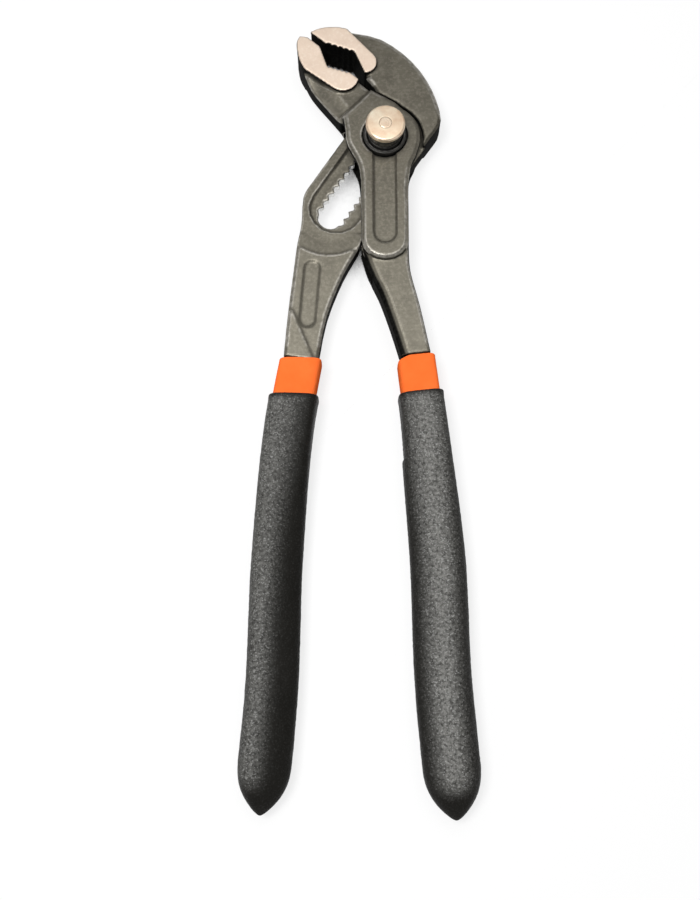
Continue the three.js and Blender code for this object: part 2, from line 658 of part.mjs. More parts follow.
function boxLever() {
  const headRoom = Math.hypot(SLOT_GAP / 2 + PIN_HEAD_BITE, PIN_HEAD_LENGTH / 2) + CLEARANCE;
  const middle = (BAR_LEFT + BAR_RIGHT) / 2;
  const recess = stadium(new THREE.Vector2(middle, FACE_RECESS_END + FACE_RECESS_WIDTH / 2),
    new THREE.Vector2(middle, -CHEEK_RADIUS / 2), FACE_RECESS_WIDTH / 2, ROUND_SIDES / 4);
  return forging(cheekOutline(), JOINT_THICKNESS, CHEEK_EDGE)
    .add(forging(jawOutline(), JAW_THICKNESS, FORGED_EDGE))
    .add(slab(jawPadOutline(), -PAD_THICKNESS / 2, PAD_THICKNESS / 2))
    .add(boxNeck())
    .add(solidOf(skinOver(tang(rightHandle))))
    .subtract(leverWindow())
    .subtract(disc(collarRadius + CLEARANCE, 0, JOINT_THICKNESS))
    .subtract(disc(headRoom, -JOINT_THICKNESS, 0))
    .subtract(slab(recess, jointHalf - FACE_RECESS_DEPTH, JOINT_THICKNESS));
}

// Collar pressed into the front cheek: it guides the stem
function guideCollar() {
  const bottom = windowHalf + CLEARANCE;
  return turned([[collarBore, bottom], [collarRadius, bottom],
    [collarRadius, collarTop], [collarBore, collarTop]]);
}

// Black tube under the button that slides in the collar
function buttonStem() {
  const inner = stemRadius - STEM_WALL;
  const top = buttonUnder - CLEARANCE;
  return turned([[inner, stemBottom], [stemRadius, stemBottom], [stemRadius, top], [inner, top]]);
}

function pushButton() {
  const hole = RIVET_DIAMETER / 2 + CLEARANCE;
  const radius = BUTTON_DIAMETER / 2;
  return turned([[hole, buttonUnder], [radius - BUTTON_EDGE / 2, buttonUnder],
    [radius, buttonUnder + BUTTON_EDGE], [radius, buttonTop - BUTTON_EDGE],
    [radius - BUTTON_EDGE, buttonTop], [hole, buttonTop]]);
}

// Pin: rivet through the button, smooth neck between the slot's teeth, and toothed locking head
function jointPin() {
  const half = SLOT_GAP / 2;
  const end = PIN_HEAD_LENGTH / 2;
  const teeth = [];
  for (let at = -0.5 * SLOT_PITCH; at < end; at += SLOT_PITCH) {
    teeth.push([at - SLOT_PITCH / 2, half - CLEARANCE], [at, half + PIN_HEAD_BITE]);
  }
  teeth.push([SLOT_PITCH, half - CLEARANCE]);
  const right = teeth.map(([down, across]) => slotPoint(down, across));
  const left = teeth.map(([down, across]) => slotPoint(down, -across));
  const head = slab([...left, ...right.reverse()], pinHeadBottom, pinHeadTop);
  const neckTop = buttonUnder - CLEARANCE;
  const overlap = PIN_HEAD_THICKNESS / 2;
  return head
    .add(disc(pinRadius, pinHeadTop - overlap, neckTop))
    .add(disc(RIVET_DIAMETER / 2, neckTop - overlap, buttonTop));
}

function thrustWasher() {
  const inner = springInner;
  const outer = springOuter;
  const top = washerBottom + WASHER_THICKNESS;
  return turned([[inner, washerBottom], [outer, washerBottom], [outer, top], [inner, top]]);
}

// Spring: one wire wound about the pin, with its least gap to itself measured on its middle line
function buttonSpring() {
  const stepsPerCurl = 8;
  const wireSides = 5;
  const radius = (springInner + springOuter) / 2;
  const rise = springTop - springBottom - SPRING_WIRE;
  const steps = SPRING_CURLS * stepsPerCurl;
  const line = [];
  for (let i = 0; i <= steps; i += 1) {
    const angle = (2 * Math.PI * i) / stepsPerCurl;
    line.push(new THREE.Vector3(radius * Math.cos(angle), radius * Math.sin(angle),
      springBottom + SPRING_WIRE / 2 + (rise * i) / steps));
  }
  const tail = (end, next) => end.clone().add(end.clone().sub(next).setZ(0).setLength(SPRING_WIRE));
  const path = [tail(line[0], line[1]), ...line, tail(line[steps], line[steps - 1])];
  const rings = path.map((point, i) => {
    const before = path[Math.max(i - 1, 0)];
    const after = path[Math.min(i + 1, path.length - 1)];
    const along = after.clone().sub(before).normalize();
    const side = new THREE.Vector3(0, 0, 1).cross(along).normalize();
    const up = along.clone().cross(side);
    const ring = [];
    for (let k = 0; k < wireSides; k += 1) {
      const turn = (2 * Math.PI * k) / wireSides;
      ring.push(point.clone().addScaledVector(side, (SPRING_WIRE / 2) * Math.cos(turn))
        .addScaledVector(up, (SPRING_WIRE / 2) * Math.sin(turn)));
    }
    return ring;
  });
  let gap = Infinity;
  path.forEach((point, i) => {
    path.slice(i + stepsPerCurl / 2).forEach((other) => {
      gap = Math.min(gap, point.distanceTo(other) - SPRING_WIRE);
    });
  });
  console.log(`spring: least gap to itself ${gap.toFixed(2)} mm`);
  return skinOver(rings);
}

const pliers = new THREE.Group();

function addPiece(name, geometry, material) {
  const mesh = new THREE.Mesh(geometry, material);
  mesh.name = name;
  pliers.add(mesh);
}

addPiece('box_lever', geometryOf(boxLever()), BLACKED_STEEL);
addPiece('slotted_lever', geometryOf(slottedLever()), BLACKED_STEEL);
addPiece('guide_collar', geometryOf(guideCollar()), BLACK_STEEL);
addPiece('push_button', geometryOf(pushButton()), TURNED_STEEL);
addPiece('button_stem', geometryOf(buttonStem()), BLACK_STEEL);
addPiece('joint_pin', geometryOf(jointPin()), BLACK_STEEL);
addPiece('thrust_washer', geometryOf(thrustWasher()), SPRING_STEEL);
addPiece('button_spring', buttonSpring(), SPRING_STEEL);
addPiece('left_grip_liner', gripLiner(leftHandle), ORANGE_COAT);
addPiece('right_grip_liner', gripLiner(rightHandle), ORANGE_COAT);
addPiece('left_grip_sleeve', gripSleeve(leftHandle), BLACK_COAT);
addPiece('right_grip_sleeve', gripSleeve(rightHandle), BLACK_COAT);

// Set down: the origin goes to the middle of the surface that the pliers lie on
const extent = new THREE.Box3().setFromObject(pliers);
const middle = extent.getCenter(new THREE.Vector3());
pliers.position.set(-middle.x, -middle.y, -extent.min.z);
const size = extent.getSize(new THREE.Vector3());
console.log(`pliers: ${size.x.toFixed(1)} x ${size.y.toFixed(1)} x ${size.z.toFixed(1)} mm`);
console.log(`pivot axis at ${pliers.position.x.toFixed(3)}, ${pliers.position.y.toFixed(3)},`
  + ` middle plane at ${pliers.position.z.toFixed(3)} mm`);

export default pliers;
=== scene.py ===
# %% [markdown]
# # Push-button water-pump pliers, dressed in Blender
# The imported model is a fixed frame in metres. Every piece below is laid in that same frame, rides on
# one of its bodies and stands for one of its plain solids, so the tool still swings, shifts and clicks.

# %% Load the frame
from math import radians

import bmesh
import bpy
import numpy as np
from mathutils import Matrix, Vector


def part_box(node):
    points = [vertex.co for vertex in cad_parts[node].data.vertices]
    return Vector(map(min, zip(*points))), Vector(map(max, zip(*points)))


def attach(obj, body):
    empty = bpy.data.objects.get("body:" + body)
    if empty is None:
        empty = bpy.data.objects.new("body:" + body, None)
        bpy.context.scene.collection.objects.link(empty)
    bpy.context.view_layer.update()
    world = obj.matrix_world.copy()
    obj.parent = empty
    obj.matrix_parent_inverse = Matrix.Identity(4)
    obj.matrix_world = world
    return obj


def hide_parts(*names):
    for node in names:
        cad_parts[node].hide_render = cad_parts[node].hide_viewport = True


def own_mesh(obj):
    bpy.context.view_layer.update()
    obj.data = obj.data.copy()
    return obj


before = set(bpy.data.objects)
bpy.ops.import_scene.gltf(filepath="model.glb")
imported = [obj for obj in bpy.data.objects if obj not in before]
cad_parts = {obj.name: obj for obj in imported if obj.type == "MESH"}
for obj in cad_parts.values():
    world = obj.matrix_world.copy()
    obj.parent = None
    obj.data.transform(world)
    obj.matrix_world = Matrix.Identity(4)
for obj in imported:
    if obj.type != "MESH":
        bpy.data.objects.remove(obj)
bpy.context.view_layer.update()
MM = 0.001

# %% [markdown]
# ## Where the joint is
# All sizes here are millimetres from the pivot axis and the levers' middle plane. The collar is round about
# that axis and the box lever is alike above and below that plane, so their boxes give the place.

# %% Find the pivot
PIVOT = np.mean(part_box("guide_collar"), axis=0)
PIVOT[2] = np.mean(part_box("box_lever"), axis=0)[2]
print("pivot in mm:", np.round(PIVOT / MM, 3))

# %% [markdown]
# ## From arrays to meshes
# A surface here is a grid of points. Wrapped round it makes a tube, and wrapped both ways a ring such as a
# washer. Blender takes whole arrays at once with foreach_set. The volume tells if a skin is inside out.


# %% Grid helpers
def circle(count):
    """Even angles all round."""
    return np.linspace(0, 2 * np.pi, count, endpoint=False)


def unit(vectors):
    """Vectors divided by their lengths."""
    return vectors / np.maximum(np.linalg.norm(vectors, axis=-1, keepdims=True), 1e-9)


def new_object(name, data):
    """Puts new data in the scene as an object."""
    made = bpy.data.objects.new(name, data)
    bpy.context.scene.collection.objects.link(made)
    return made


def tube_faces(rows, columns):
    """Faces of a tube: ring r joins ring r + 1 by quads, and fans to two added points close its ends."""
    index = np.arange(rows * columns).reshape(rows, columns)
    beside = np.roll(index, -1, axis=1)
    quads = np.stack([index[:-1], beside[:-1], beside[1:], index[1:]], axis=-1).reshape(-1, 4)
    first, last = np.full(columns, rows * columns), np.full(columns, rows * columns + 1)
    near = np.stack([beside[0], index[0], first], axis=-1)
    far = np.stack([index[-1], beside[-1], last], axis=-1)
    return [quads, np.concatenate([near, far])]


def capped(rings):
    """Points of a tube's rings, followed by the middle of its first and of its last ring."""
    return np.concatenate([rings.reshape(-1, 3), rings[:1].mean(1), rings[-1:].mean(1)])


def ring_faces(rows, columns):
    """Faces of a grid that is wrapped both ways, as on a washer."""
    index = np.arange(rows * columns).reshape(rows, columns)
    beside, after = np.roll(index, -1, axis=1), np.roll(index, -1, axis=0)
    corner = np.roll(beside, -1, axis=0)
    return [np.stack([index, beside, corner, after], axis=-1).reshape(-1, 4)]


# %% From points to pieces
def volume(points, faces):
    """Sum of the signed tetrahedra from the origin to each triangle of the skin."""
    total = 0.0
    for part in faces:
        for k in range(1, part.shape[1] - 1):
            a, b, c = points[part[:, 0]], points[part[:, k]], points[part[:, k + 1]]
            total += np.einsum("ij,ij->i", a, np.cross(b, c)).sum() / 6
    return total


def put_piece(name, points, faces):
    """Makes a smooth mesh object of points in mm from the pivot, right side out."""
    if volume(points, faces) < 0:
        faces = [part[:, ::-1] for part in faces]
    mesh = bpy.data.meshes.new(name)
    sizes = np.concatenate([np.full(len(part), part.shape[1]) for part in faces])
    corners = np.concatenate([part.ravel() for part in faces])
    mesh.vertices.add(len(points))
    mesh.vertices.foreach_set("co", (points * MM + PIVOT).astype(np.float32).ravel())
    mesh.loops.add(len(corners))
    mesh.loops.foreach_set("vertex_index", corners.astype(np.int32))
    mesh.polygons.add(len(sizes))
    mesh.polygons.foreach_set("loop_start", (np.cumsum(sizes) - sizes).astype(np.int32))
    mesh.update(calc_edges=True)
    mesh.shade_smooth()
    print(f"{name}: {len(points)} points, {abs(volume(points, faces)):.0f} mm3")
    return new_object(name, mesh)


def paint(piece, name, values):
    """Writes one number per point into a mesh attribute, which a finish can read."""
    attribute = piece.data.attributes.new(name, "FLOAT", "POINT")
    attribute.data.foreach_set("value", values.astype(np.float32))


# %% [markdown]
# ## Uneven surfaces and soft borders
# A forging and a dipped coat are never quite even. Random heights on a lattice, blended between its corners,
# give lumps of a chosen size. The seed is fixed, so the same lumps come back each run. The same blend gives
# masks with soft borders.

# %% Random lumps and soft steps
LATTICE = 48


def ease(value):
    """Runs from 0 to 1 with level ends: 3t^2 - 2t^3 of the clipped value."""
    t = np.clip(value, 0, 1)
    return t * t * (3 - 2 * t)


def above(value, start, run):
    """0 up to the start, and 1 from a run beyond it."""
    return ease((value - start) / run)


def below(value, stop, run):
    """0 from the stop on, and 1 up to a run before it."""
    return ease((stop - value) / run)


def lumps(points, cell, seed):
    """Heights from -1 to 1: values at the corners of a point's lattice cell, blended by 3t^2 - 2t^3."""
    table = np.random.default_rng(seed).uniform(-1, 1, (LATTICE, LATTICE, LATTICE))
    place = np.asarray(points) / cell
    base = np.floor(place).astype(int)
    share = ease(place - base)
    total = np.zeros(place.shape[:-1])
    for corner in np.ndindex(2, 2, 2):
        weight = np.prod(np.where(corner, share, 1 - share), axis=-1)
        index = np.moveaxis((base + corner) % LATTICE, -1, 0)
        total += weight * table[tuple(index)]
    return total


def sunk_lumps(points, layers):
    """Sum of lumps less 1, times their height, so none stands above 0. A layer is height, cell and seed."""
    return sum(height * (lumps(points, cell, seed) - 1) for height, cell, seed in layers)


# %% [markdown]
# ## The handles' lines
# Each handle bends gently outwards and hooks a little at its end. A smooth line runs through five points from
# the steel neck to the tip. The centripetal kind of Catmull-Rom line never overshoots between points that
# stand far apart. Each handle also keeps its half widths, its section's lean and slant, two exponents of
# its tip, and where and how strong the painted highlight on its grip is.

# %% Lines of the two handles
LEFT_LINE = [(-26.3, -74.6), (-29.8, -96.6), (-32.7, -136.6), (-33.7, -174.1), (-36.5, -208.9)]
RIGHT_LINE = [(9.1, -73.6), (11.6, -96.6), (14.7, -136.6), (15.6, -171.0), (18.7, -210.2)]


def handle_line(points, samples=150):
    """Cubics between the points. A slope at a point weighs the chords beside it by the root of their lengths.

    Returns the distance run along the line and the places there.
    """
    p = np.array(points, float)
    p = np.vstack([2 * p[0] - p[1], p, 2 * p[-1] - p[-2]])
    root = np.linalg.norm(np.diff(p, axis=0), axis=1)[:, None] ** 0.5
    before, start, end, after = p[:-3], p[1:-2], p[2:-1], p[3:]
    d0, d1, d2 = root[:-2], root[1:-1], root[2:]
    leave = ((start - before) / d0 - (end - before) / (d0 + d1) + (end - start) / d1) * d1
    arrive = ((end - start) / d1 - (after - start) / (d1 + d2) + (after - end) / d2) * d1
    t = np.linspace(0, 1, samples, endpoint=False)[None, :, None]
    curve = (1 + 2 * t) * (1 - t) ** 2 * start[:, None] + t * (1 - t) ** 2 * leave[:, None]
    curve += t ** 2 * (3 - 2 * t) * end[:, None] + t ** 2 * (t - 1) * arrive[:, None]
    places = np.vstack([curve.reshape(-1, 2), p[-2]])
    run = np.concatenate([[0], np.cumsum(np.linalg.norm(np.diff(places, axis=0), axis=1))])
    return run, places


HANDLES = {
    "left": dict(line=handle_line(LEFT_LINE), mouth=7.6, belly=7.75, egg=-0.34, tilt=0.14,
                 bulge=2.8, taper=1.1, sheen_degrees=126, sheen_strength=0.70, sheen_wide=1.8, sheen_narrow=6.5),
    "right": dict(line=handle_line(RIGHT_LINE), mouth=7.0, belly=8.38, egg=0.14, tilt=0.0,
                  bulge=2.6, taper=1.05, sheen_degrees=90, sheen_strength=1.15, sheen_wide=3.4, sheen_narrow=4.8),
}
for side, handle in HANDLES.items():
    handle["length"] = handle["line"][0][-1]
    print(side, "handle line:", round(handle["length"], 1), "mm")

# %% [markdown]
# ## Sections of the coats
# The first coat lies close on the flat tang, so its section is a box with rounded corners. Further down the
# outer coat fills out to an oval. One formula does both: a superellipse, whose exponent is high for a box and
# near 2 for an oval. Below the band the section also leans to an egg, lower on one side than on the other.

# %% Rings along a handle
BAND = 12.2
POINT = 16.0
HALF_HEIGHT = 6.5
BOXY, OVAL = 4.6, 2.6
SWELL_RUN, SQUARE_RUN, SLANT_RUN = 55.0, 45.0, 25.0


def coat_rings(handle, distance, inset, share, columns, squareness):
    """Rings square to the handle's line, one for each distance.

    A ring's radius at an angle is (|cos/w|^n + |sin/h|^n)^(-1/n), with w and h the half sizes less the inset,
    times the share that draws the end to a point. Heights are times 1 + e cos, with e growing to the handle's
    egg, then shrunk so that the top stays. Near the band rings slant by their offset across times the tilt.
    """
    run, places = handle["line"]
    slope = np.gradient(places, run, axis=0)
    middle, along = (np.stack([np.interp(distance, run, values[:, k]) for k in range(2)], axis=-1)
                     for values in (places, slope))
    along = unit(along)
    swell = above(distance, BAND, SWELL_RUN)
    width = handle["mouth"] + (handle["belly"] - handle["mouth"]) * swell
    angle = circle(columns)
    half_wide = ((width - inset.T) * share).T
    half_high = ((HALF_HEIGHT - inset.T) * share).T
    power = squareness[:, None]
    radius = np.abs(np.cos(angle) / half_wide) ** power + np.abs(np.sin(angle) / half_high) ** power
    radius = radius ** (-1 / power)
    across = radius * np.cos(angle)
    level = radius * np.sin(angle)
    up = level * (1 + handle["egg"] * swell[:, None] * np.cos(angle))
    up *= level.max(1, keepdims=True) / up.max(1, keepdims=True)
    slant = handle["tilt"] * across * (1 - above(distance, BAND, SLANT_RUN))[:, None]
    x = middle[:, :1] - along[:, 1:] * across - along[:, :1] * slant
    y = middle[:, 1:] + along[:, :1] * across - along[:, 1:] * slant
    return np.stack([x, y, up], axis=-1), angle


def inner_side(side, angle):
    """1 where a coat faces the other handle: the clipped cosine, turned round on the right."""
    return np.clip(-np.cos(angle) if side == "right" else np.cos(angle), 0, 1)


# %% [markdown]
# ## Black outer coats
# The grips are thick dipped coats with a leather-like grain and a blunt point. The skin runs from inside the
# mouth, over its rolled lip and down to the tip, so the coat has a real wall. The coarse grain is geometry,
# pressed in along the normals so that the coat grows no thicker, and the finest is left to the material.
# A painted highlight greys the coat along its crest: a stripe whose breadth changes down the grip, gone
# before the tip.

# %% Grip sleeves
SLEEVE_WALL = 0.8
LINER_GAP = 0.3
TIP_REACH = 15.6
NIB = 0.12
SHEEN_RUN = 90.0
GRAIN_STEP = 0.32
GRAIN = [(0.06, 0.8, 11), (0.025, 1.9, 12), (0.04, 9.0, 13)]
SLEEVE_COLUMNS, HOLLOW_ROWS, TIP_ROWS = 150, 24, 41


def grip_sleeve(side, step_at, step_height):
    """Rows from the blind end of the hollow up to the mouth, over a half-round lip, and down to the tip.

    The tip draws in by the share 0.88 (1 - s^p)^q + 0.12 (1 - s^20)^0.5, a cone with a round nib. A low ridge
    on the inner side is the mould's step. The painted highlight is a power of the cosine from its direction.
    """
    handle = HANDLES[side]
    tip_start = handle["length"] - POINT
    half_wall = SLEEVE_WALL / 2
    hollow = np.linspace(tip_start, BAND + half_wall, HOLLOW_ROWS)
    lip = np.linspace(0, np.pi, 9)[1:-1]
    outside = np.arange(BAND + half_wall, tip_start, GRAIN_STEP)
    tip = 1 - (1 - np.linspace(0, 1, TIP_ROWS, endpoint=False)) ** 1.6
    mouth = BAND + half_wall - half_wall * np.sin(lip)
    distance = np.concatenate([hollow, mouth, outside, tip_start + TIP_REACH * tip])
    inset = np.concatenate([np.full(HOLLOW_ROWS, SLEEVE_WALL), half_wall + half_wall * np.cos(lip),
                            np.zeros(len(outside) + TIP_ROWS)])
    drawn = (1 - NIB) * (1 - tip ** handle["bulge"]) ** handle["taper"] + NIB * (1 - tip ** 20) ** 0.5
    share = np.concatenate([np.ones(len(distance) - TIP_ROWS), drawn])
    squareness = OVAL + (BOXY - OVAL - 0.4) * (1 - above(distance, BAND, SQUARE_RUN))
    angle = circle(SLEEVE_COLUMNS)
    ridge = above(distance, step_at, 0.8) * (1 - above(distance, step_at + 4, 30))
    outer = np.arange(len(distance)) >= HOLLOW_ROWS + len(lip)
    inset = inset[:, None] - step_height * np.outer(ridge * outer, inner_side(side, angle) ** 3)
    rings, _ = coat_rings(handle, distance, inset, share, SLEEVE_COLUMNS, squareness)
    depth = np.where(outer, above(distance, BAND, 2.5), 0)[:, None] * np.sqrt(share)[:, None]
    slope_round = np.roll(rings, -1, axis=1) - np.roll(rings, 1, axis=1)
    normal = unit(np.cross(slope_round, np.gradient(rings, axis=0)))
    outward = np.sign(np.einsum("rck,rck->rc", normal, rings - rings.mean(1, keepdims=True)))[..., None]
    rings = rings + normal * outward * (sunk_lumps(rings, GRAIN) * depth)[..., None]
    piece = put_piece(side + "_grip_coat", capped(rings), tube_faces(*rings.shape[:2]))
    focus = handle["sheen_wide"] + (handle["sheen_narrow"] - handle["sheen_wide"]) * above(distance, BAND, SHEEN_RUN)
    facing = np.clip(np.cos(angle - np.radians(handle["sheen_degrees"])), 0, 1)
    # painted highlight: a grey stripe along the grip's crest, standing in for the lamp's sheen
    grip_sheen = handle["sheen_strength"] * facing ** focus[:, None] * depth
    grip_sheen *= 1 - above(distance, tip_start + 4, 7)[:, None]
    paint(piece, "grip_sheen", np.concatenate([grip_sheen.ravel(), [0, 0]]))
    return piece


sleeves = {"left": grip_sleeve("left", 60, 0.0), "right": grip_sleeve("right", 32, 0.5)}

# %% [markdown]
# ## Orange first coats
# Under the black coat lies an orange one, and a band of it shows above each grip. It is thin and lies boxy on
# the steel, with a rolled upper edge. Most of it is hidden, so its rows are close together only on the band.

# %% Grip liners
BAND_INSET = SLEEVE_WALL + LINER_GAP
BAND_WALL = 1.0
LIP_RISE = 0.7
DRAIN_RUN = 6.0
FLOWS = [(0.006, 5.0, 21)]
LINER_COLUMNS, BLIND_ROWS = 120, 16


def grip_liner(side, dip):
    """Rows from the blind end of the hollow up to the band's edge, over a rolled lip, and down to the end.

    The edge dips on the inner side by the given length, as a dipped coat drains.
    """
    handle = HANDLES[side]
    end = handle["length"] - POINT - LINER_GAP
    rim = LINER_GAP + LIP_RISE
    hollow = np.linspace(end - 2.2, rim, BLIND_ROWS)
    lip = np.linspace(0, np.pi, 11)[1:-1]
    band = np.arange(rim, BAND + 3, 0.3)
    hidden = np.linspace(BAND + 3, end, 40)
    distance = np.concatenate([hollow, rim - LIP_RISE * np.sin(lip), band, hidden])
    wall = np.concatenate([np.full(BLIND_ROWS, BAND_WALL), BAND_WALL / 2 * (1 + np.cos(lip)),
                           np.zeros(len(band) + len(hidden))])
    inset = np.repeat((BAND_INSET + wall)[:, None], LINER_COLUMNS, axis=1)
    squareness = OVAL + (BOXY + 0.6 - OVAL) * (1 - above(distance, BAND, SQUARE_RUN))
    rings, angle = coat_rings(handle, distance, inset, np.ones(len(distance)), LINER_COLUMNS, squareness)
    run, places = handle["line"]
    heading = (places[1] - places[0]) / run[1]
    drain = np.outer(1 - above(distance, 0, DRAIN_RUN), dip * ease(inner_side(side, angle) * 1.6 - 0.5))
    rings[..., :2] += drain[..., None] * heading
    sunk = sunk_lumps(rings, FLOWS) * (wall == 0)[:, None]
    rings = rings + sunk[..., None] * (rings - rings.mean(1, keepdims=True))
    return put_piece(side + "_grip_band", capped(rings), tube_faces(*rings.shape[:2]))


liners = {"left": grip_liner("left", 0.0), "right": grip_liner("right", 1.2)}

# %% [markdown]
# ## Forged levers
# Each lever is one drop forging: flat faces, soft edges, a ground pad on the jaw. The plain solid has the
# right outline but knife-sharp edges. A merged copy is wrapped in an even skin of small squares, and each
# point is drawn towards the middle of its neighbours, which rounds edges and leaves flats alone. Pads and
# teeth were cut after forging, so they are held back from the rounding.

# %% Softened copies of the solids
SKIN = 0.35
ROUNDS = 3
FORGED = [(0.02, 2.2, 31), (0.03, 7.0, 32)]


def array_of(collection, name, width, kind=np.float32):
    """Reads one property of a whole mesh collection into an array of rows."""
    values = np.empty(len(collection) * width, kind)
    collection.foreach_get(name, values)
    return values.reshape(-1, width)


def neighbour_mean(values, edges):
    """Mean of each point's neighbours: sums over the edges both ways, by their count."""
    size = len(values)
    ends = np.concatenate([edges, edges[:, ::-1]])
    count = np.bincount(ends[:, 0], minlength=size)[:, None]
    total = [np.bincount(ends[:, 0], values[ends[:, 1], k], size) for k in range(values.shape[1])]
    return np.stack(total, axis=-1) / np.maximum(count, 1)


def softened_copy(name, node, skin, hold, shape=None):
    """Voxel skin of a node's merged copy, shaped and then relaxed towards the neighbours' mean.

    hold gives each point's stillness from 0 to 1. Returns the piece, its points, their normals and their
    bend, which is above 0 where the skin stands out and below 0 where it is hollow.
    """
    work = bmesh.new()
    work.from_mesh(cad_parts[node].data)
    bmesh.ops.remove_doubles(work, verts=work.verts, dist=1e-6)
    merged = bpy.data.meshes.new(name)
    work.to_mesh(merged)
    work.free()
    piece = new_object(name, merged)
    wrap = piece.modifiers.new("skin", "REMESH")
    wrap.mode = "VOXEL"
    wrap.voxel_size = skin * MM
    graph = bpy.context.evaluated_depsgraph_get()
    mesh = bpy.data.meshes.new_from_object(piece.evaluated_get(graph))
    piece.modifiers.clear()
    piece.data = mesh
    bpy.data.meshes.remove(merged)
    points = (array_of(mesh.vertices, "co", 3).astype(float) - PIVOT) / MM
    edges = array_of(mesh.edges, "vertices", 2, np.int32)
    if shape:
        points = shape(points)
    loose = 0.5 * (1 - hold(points))[:, None]
    for _ in range(ROUNDS):
        points = points + loose * (neighbour_mean(points, edges) - points)
    mesh.vertices.foreach_set("co", (points * MM + PIVOT).astype(np.float32).ravel())
    mesh.update()
    normals = array_of(mesh.vertices, "normal", 3).astype(float)
    bend = -np.einsum("ij,ij->i", neighbour_mean(points, edges) - points, normals)[:, None] / skin
    for _ in range(2):
        bend = (bend + neighbour_mean(bend, edges)) / 2
    points += normals * sunk_lumps(points, FORGED)[:, None] * loose * 2
    mesh.vertices.foreach_set("co", (points * MM + PIVOT).astype(np.float32).ravel())
    mesh.shade_smooth()
    print(f"{name}: {len(points)} points, bend {np.percentile(bend, [5, 50, 95]).round(3)}")
    return piece, points, normals, bend[:, 0]


# %% [markdown]
# ## Places on the levers
# Formulas tell where a point of a lever is: past the cheeks' nose, near the slot's line, inside a circle.
# Each gives a mask from 0 to 1. The first ones hold cut places still, so that teeth stay crisp, and two
# shape the skin: the jaw gets thinner towards its lower edge, and the plate rises towards its neck.

# %% Pads, teeth and slot
PAD_TOP, PAD_START = 6.3, 2.5
NOSE_SLOPE, NOSE_AT, NOSE_SCALE = 1.033, 21.5, 1.438
SLOT_EAST, SLOT_NORTH = 0.5476, 0.8368
SLOT_HALF, SLOT_FROM, SLOT_TO = 6.2, -5, 39


def beyond_nose(points):
    """How far a point lies past the cheeks' nose: its offset from a slanted line."""
    return (points[:, 1] - NOSE_SLOPE * points[:, 0] - NOSE_AT) / NOSE_SCALE


def jaw_hold(points):
    """Near 1 on the jaws' pads and teeth, fading to 0 below them."""
    return 0.85 * above(beyond_nose(points), 3.2, 1.0) * above(np.abs(points[:, 2]), 5.0, 0.6)


def slot_zone(points):
    """1 round the toothed slot, by the offsets across and down its slanted line."""
    across = points[:, 0] * SLOT_NORTH - points[:, 1] * SLOT_EAST
    down = -points[:, 0] * SLOT_EAST - points[:, 1] * SLOT_NORTH
    return below(np.abs(across), SLOT_HALF, 1.0) * above(down, SLOT_FROM, 2) * below(down, SLOT_TO, 2)


def slot_hold(points):
    """Near 1 round the slot, which was broached after forging, and on the jaw."""
    return np.maximum(0.8 * slot_zone(points), jaw_hold(points))


def pad_zone(points):
    """1 at the height of the jaws' pads and teeth."""
    return above(beyond_nose(points), PAD_START, 0.5) * above(np.abs(points[:, 2]), 5.15, 0.3)


def ground_pad(points, normals):
    """1 on the flat tops of a jaw's pad, front and back."""
    level = above(np.abs(normals[:, 2]), 0.74, 0.14)
    return level * above(np.abs(points[:, 2]), PAD_TOP - 0.3, 0.15) * (beyond_nose(points) > PAD_START)


# %% Shapes of the jaw and the neck
JAW_CORNER, JAW_INWARD = np.array([-26.6, 24.4]), np.array([0.823, 0.568])
RIM_WIDTH, RIM_THINNER, RIM_SPREAD = 5, 0.35, 0.6
STEP_CENTRE, STEP_RADIUS, STEP_SIDE = (-17.9, -24.6), 15.8, 8
PLATE_HALF, NECK_HALF, RAMP_HALF, RAMP_RUN = 2.6, 3.1, 2.85, 6


def jaw_rim(points):
    """1 on the lower left edge of the box lever's jaw, fading inwards and at both ends."""
    offset = points[:, :2] - JAW_CORNER
    inside = offset[:, 0] * JAW_INWARD[0] + offset[:, 1] * JAW_INWARD[1]
    along = offset[:, 0] * JAW_INWARD[1] - offset[:, 1] * JAW_INWARD[0]
    share = below(inside, RIM_WIDTH, RIM_WIDTH) * above(along, -3, 12) * below(along, 25, 5)
    return share * (1 - above(np.abs(points[:, 2]), 5.05, 0.6))


def jaw_taper(points):
    """Thins the jaw towards that edge: heights shrink by up to 35 % and the edge spreads. Pads stay."""
    share = jaw_rim(points)
    shaped = points.copy()
    shaped[:, 2] *= 1 - RIM_THINNER * share
    shaped[:, :2] -= RIM_SPREAD * share[:, None] * JAW_INWARD
    return shaped


def inside_step(points):
    """How far a point is inside the circle of the neck's step, and if it is on the lower side."""
    x, y = STEP_CENTRE
    return STEP_RADIUS - np.hypot(points[:, 0] - x, points[:, 1] - y), points[:, 1] < y - STEP_SIDE


def neck_ramp(points):
    """Lets the plate rise half way to its neck inside the step's circle: heights grow by ease."""
    inside, lower = inside_step(points)
    share = ease(1 - inside / RAMP_RUN) * (inside > -SKIN) * lower
    height = np.abs(points[:, 2])
    raised = height * (1 + (RAMP_HALF / PLATE_HALF - 1) * share)
    shaped = points.copy()
    shaped[:, 2] = np.sign(points[:, 2]) * np.minimum(raised, np.maximum(height, NECK_HALF))
    return shaped


# %% [markdown]
# ## Wear and painted shade on the levers
# The steel was blackened and then brushed, so black stays on walls and inside the box, and edges that hands
# and work reach are rubbed bright. Masks made from place, facing and bend are painted on the points: pad for
# ground steel, side for black and for some painted shade, one for the broached slot, whose bare steel is
# painted near white as if brightly lit, and edge for wear, which is above 0 on bright edges and below 0 in
# hollows, where it paints shade.

# %% Masks for the finish
RECESS = ((-0.1, -33.9), (-0.1, -6.0), 3.65)
NECK_OVAL = ((-23.1, -44.6), (-24.4, -61.9), 2.6)


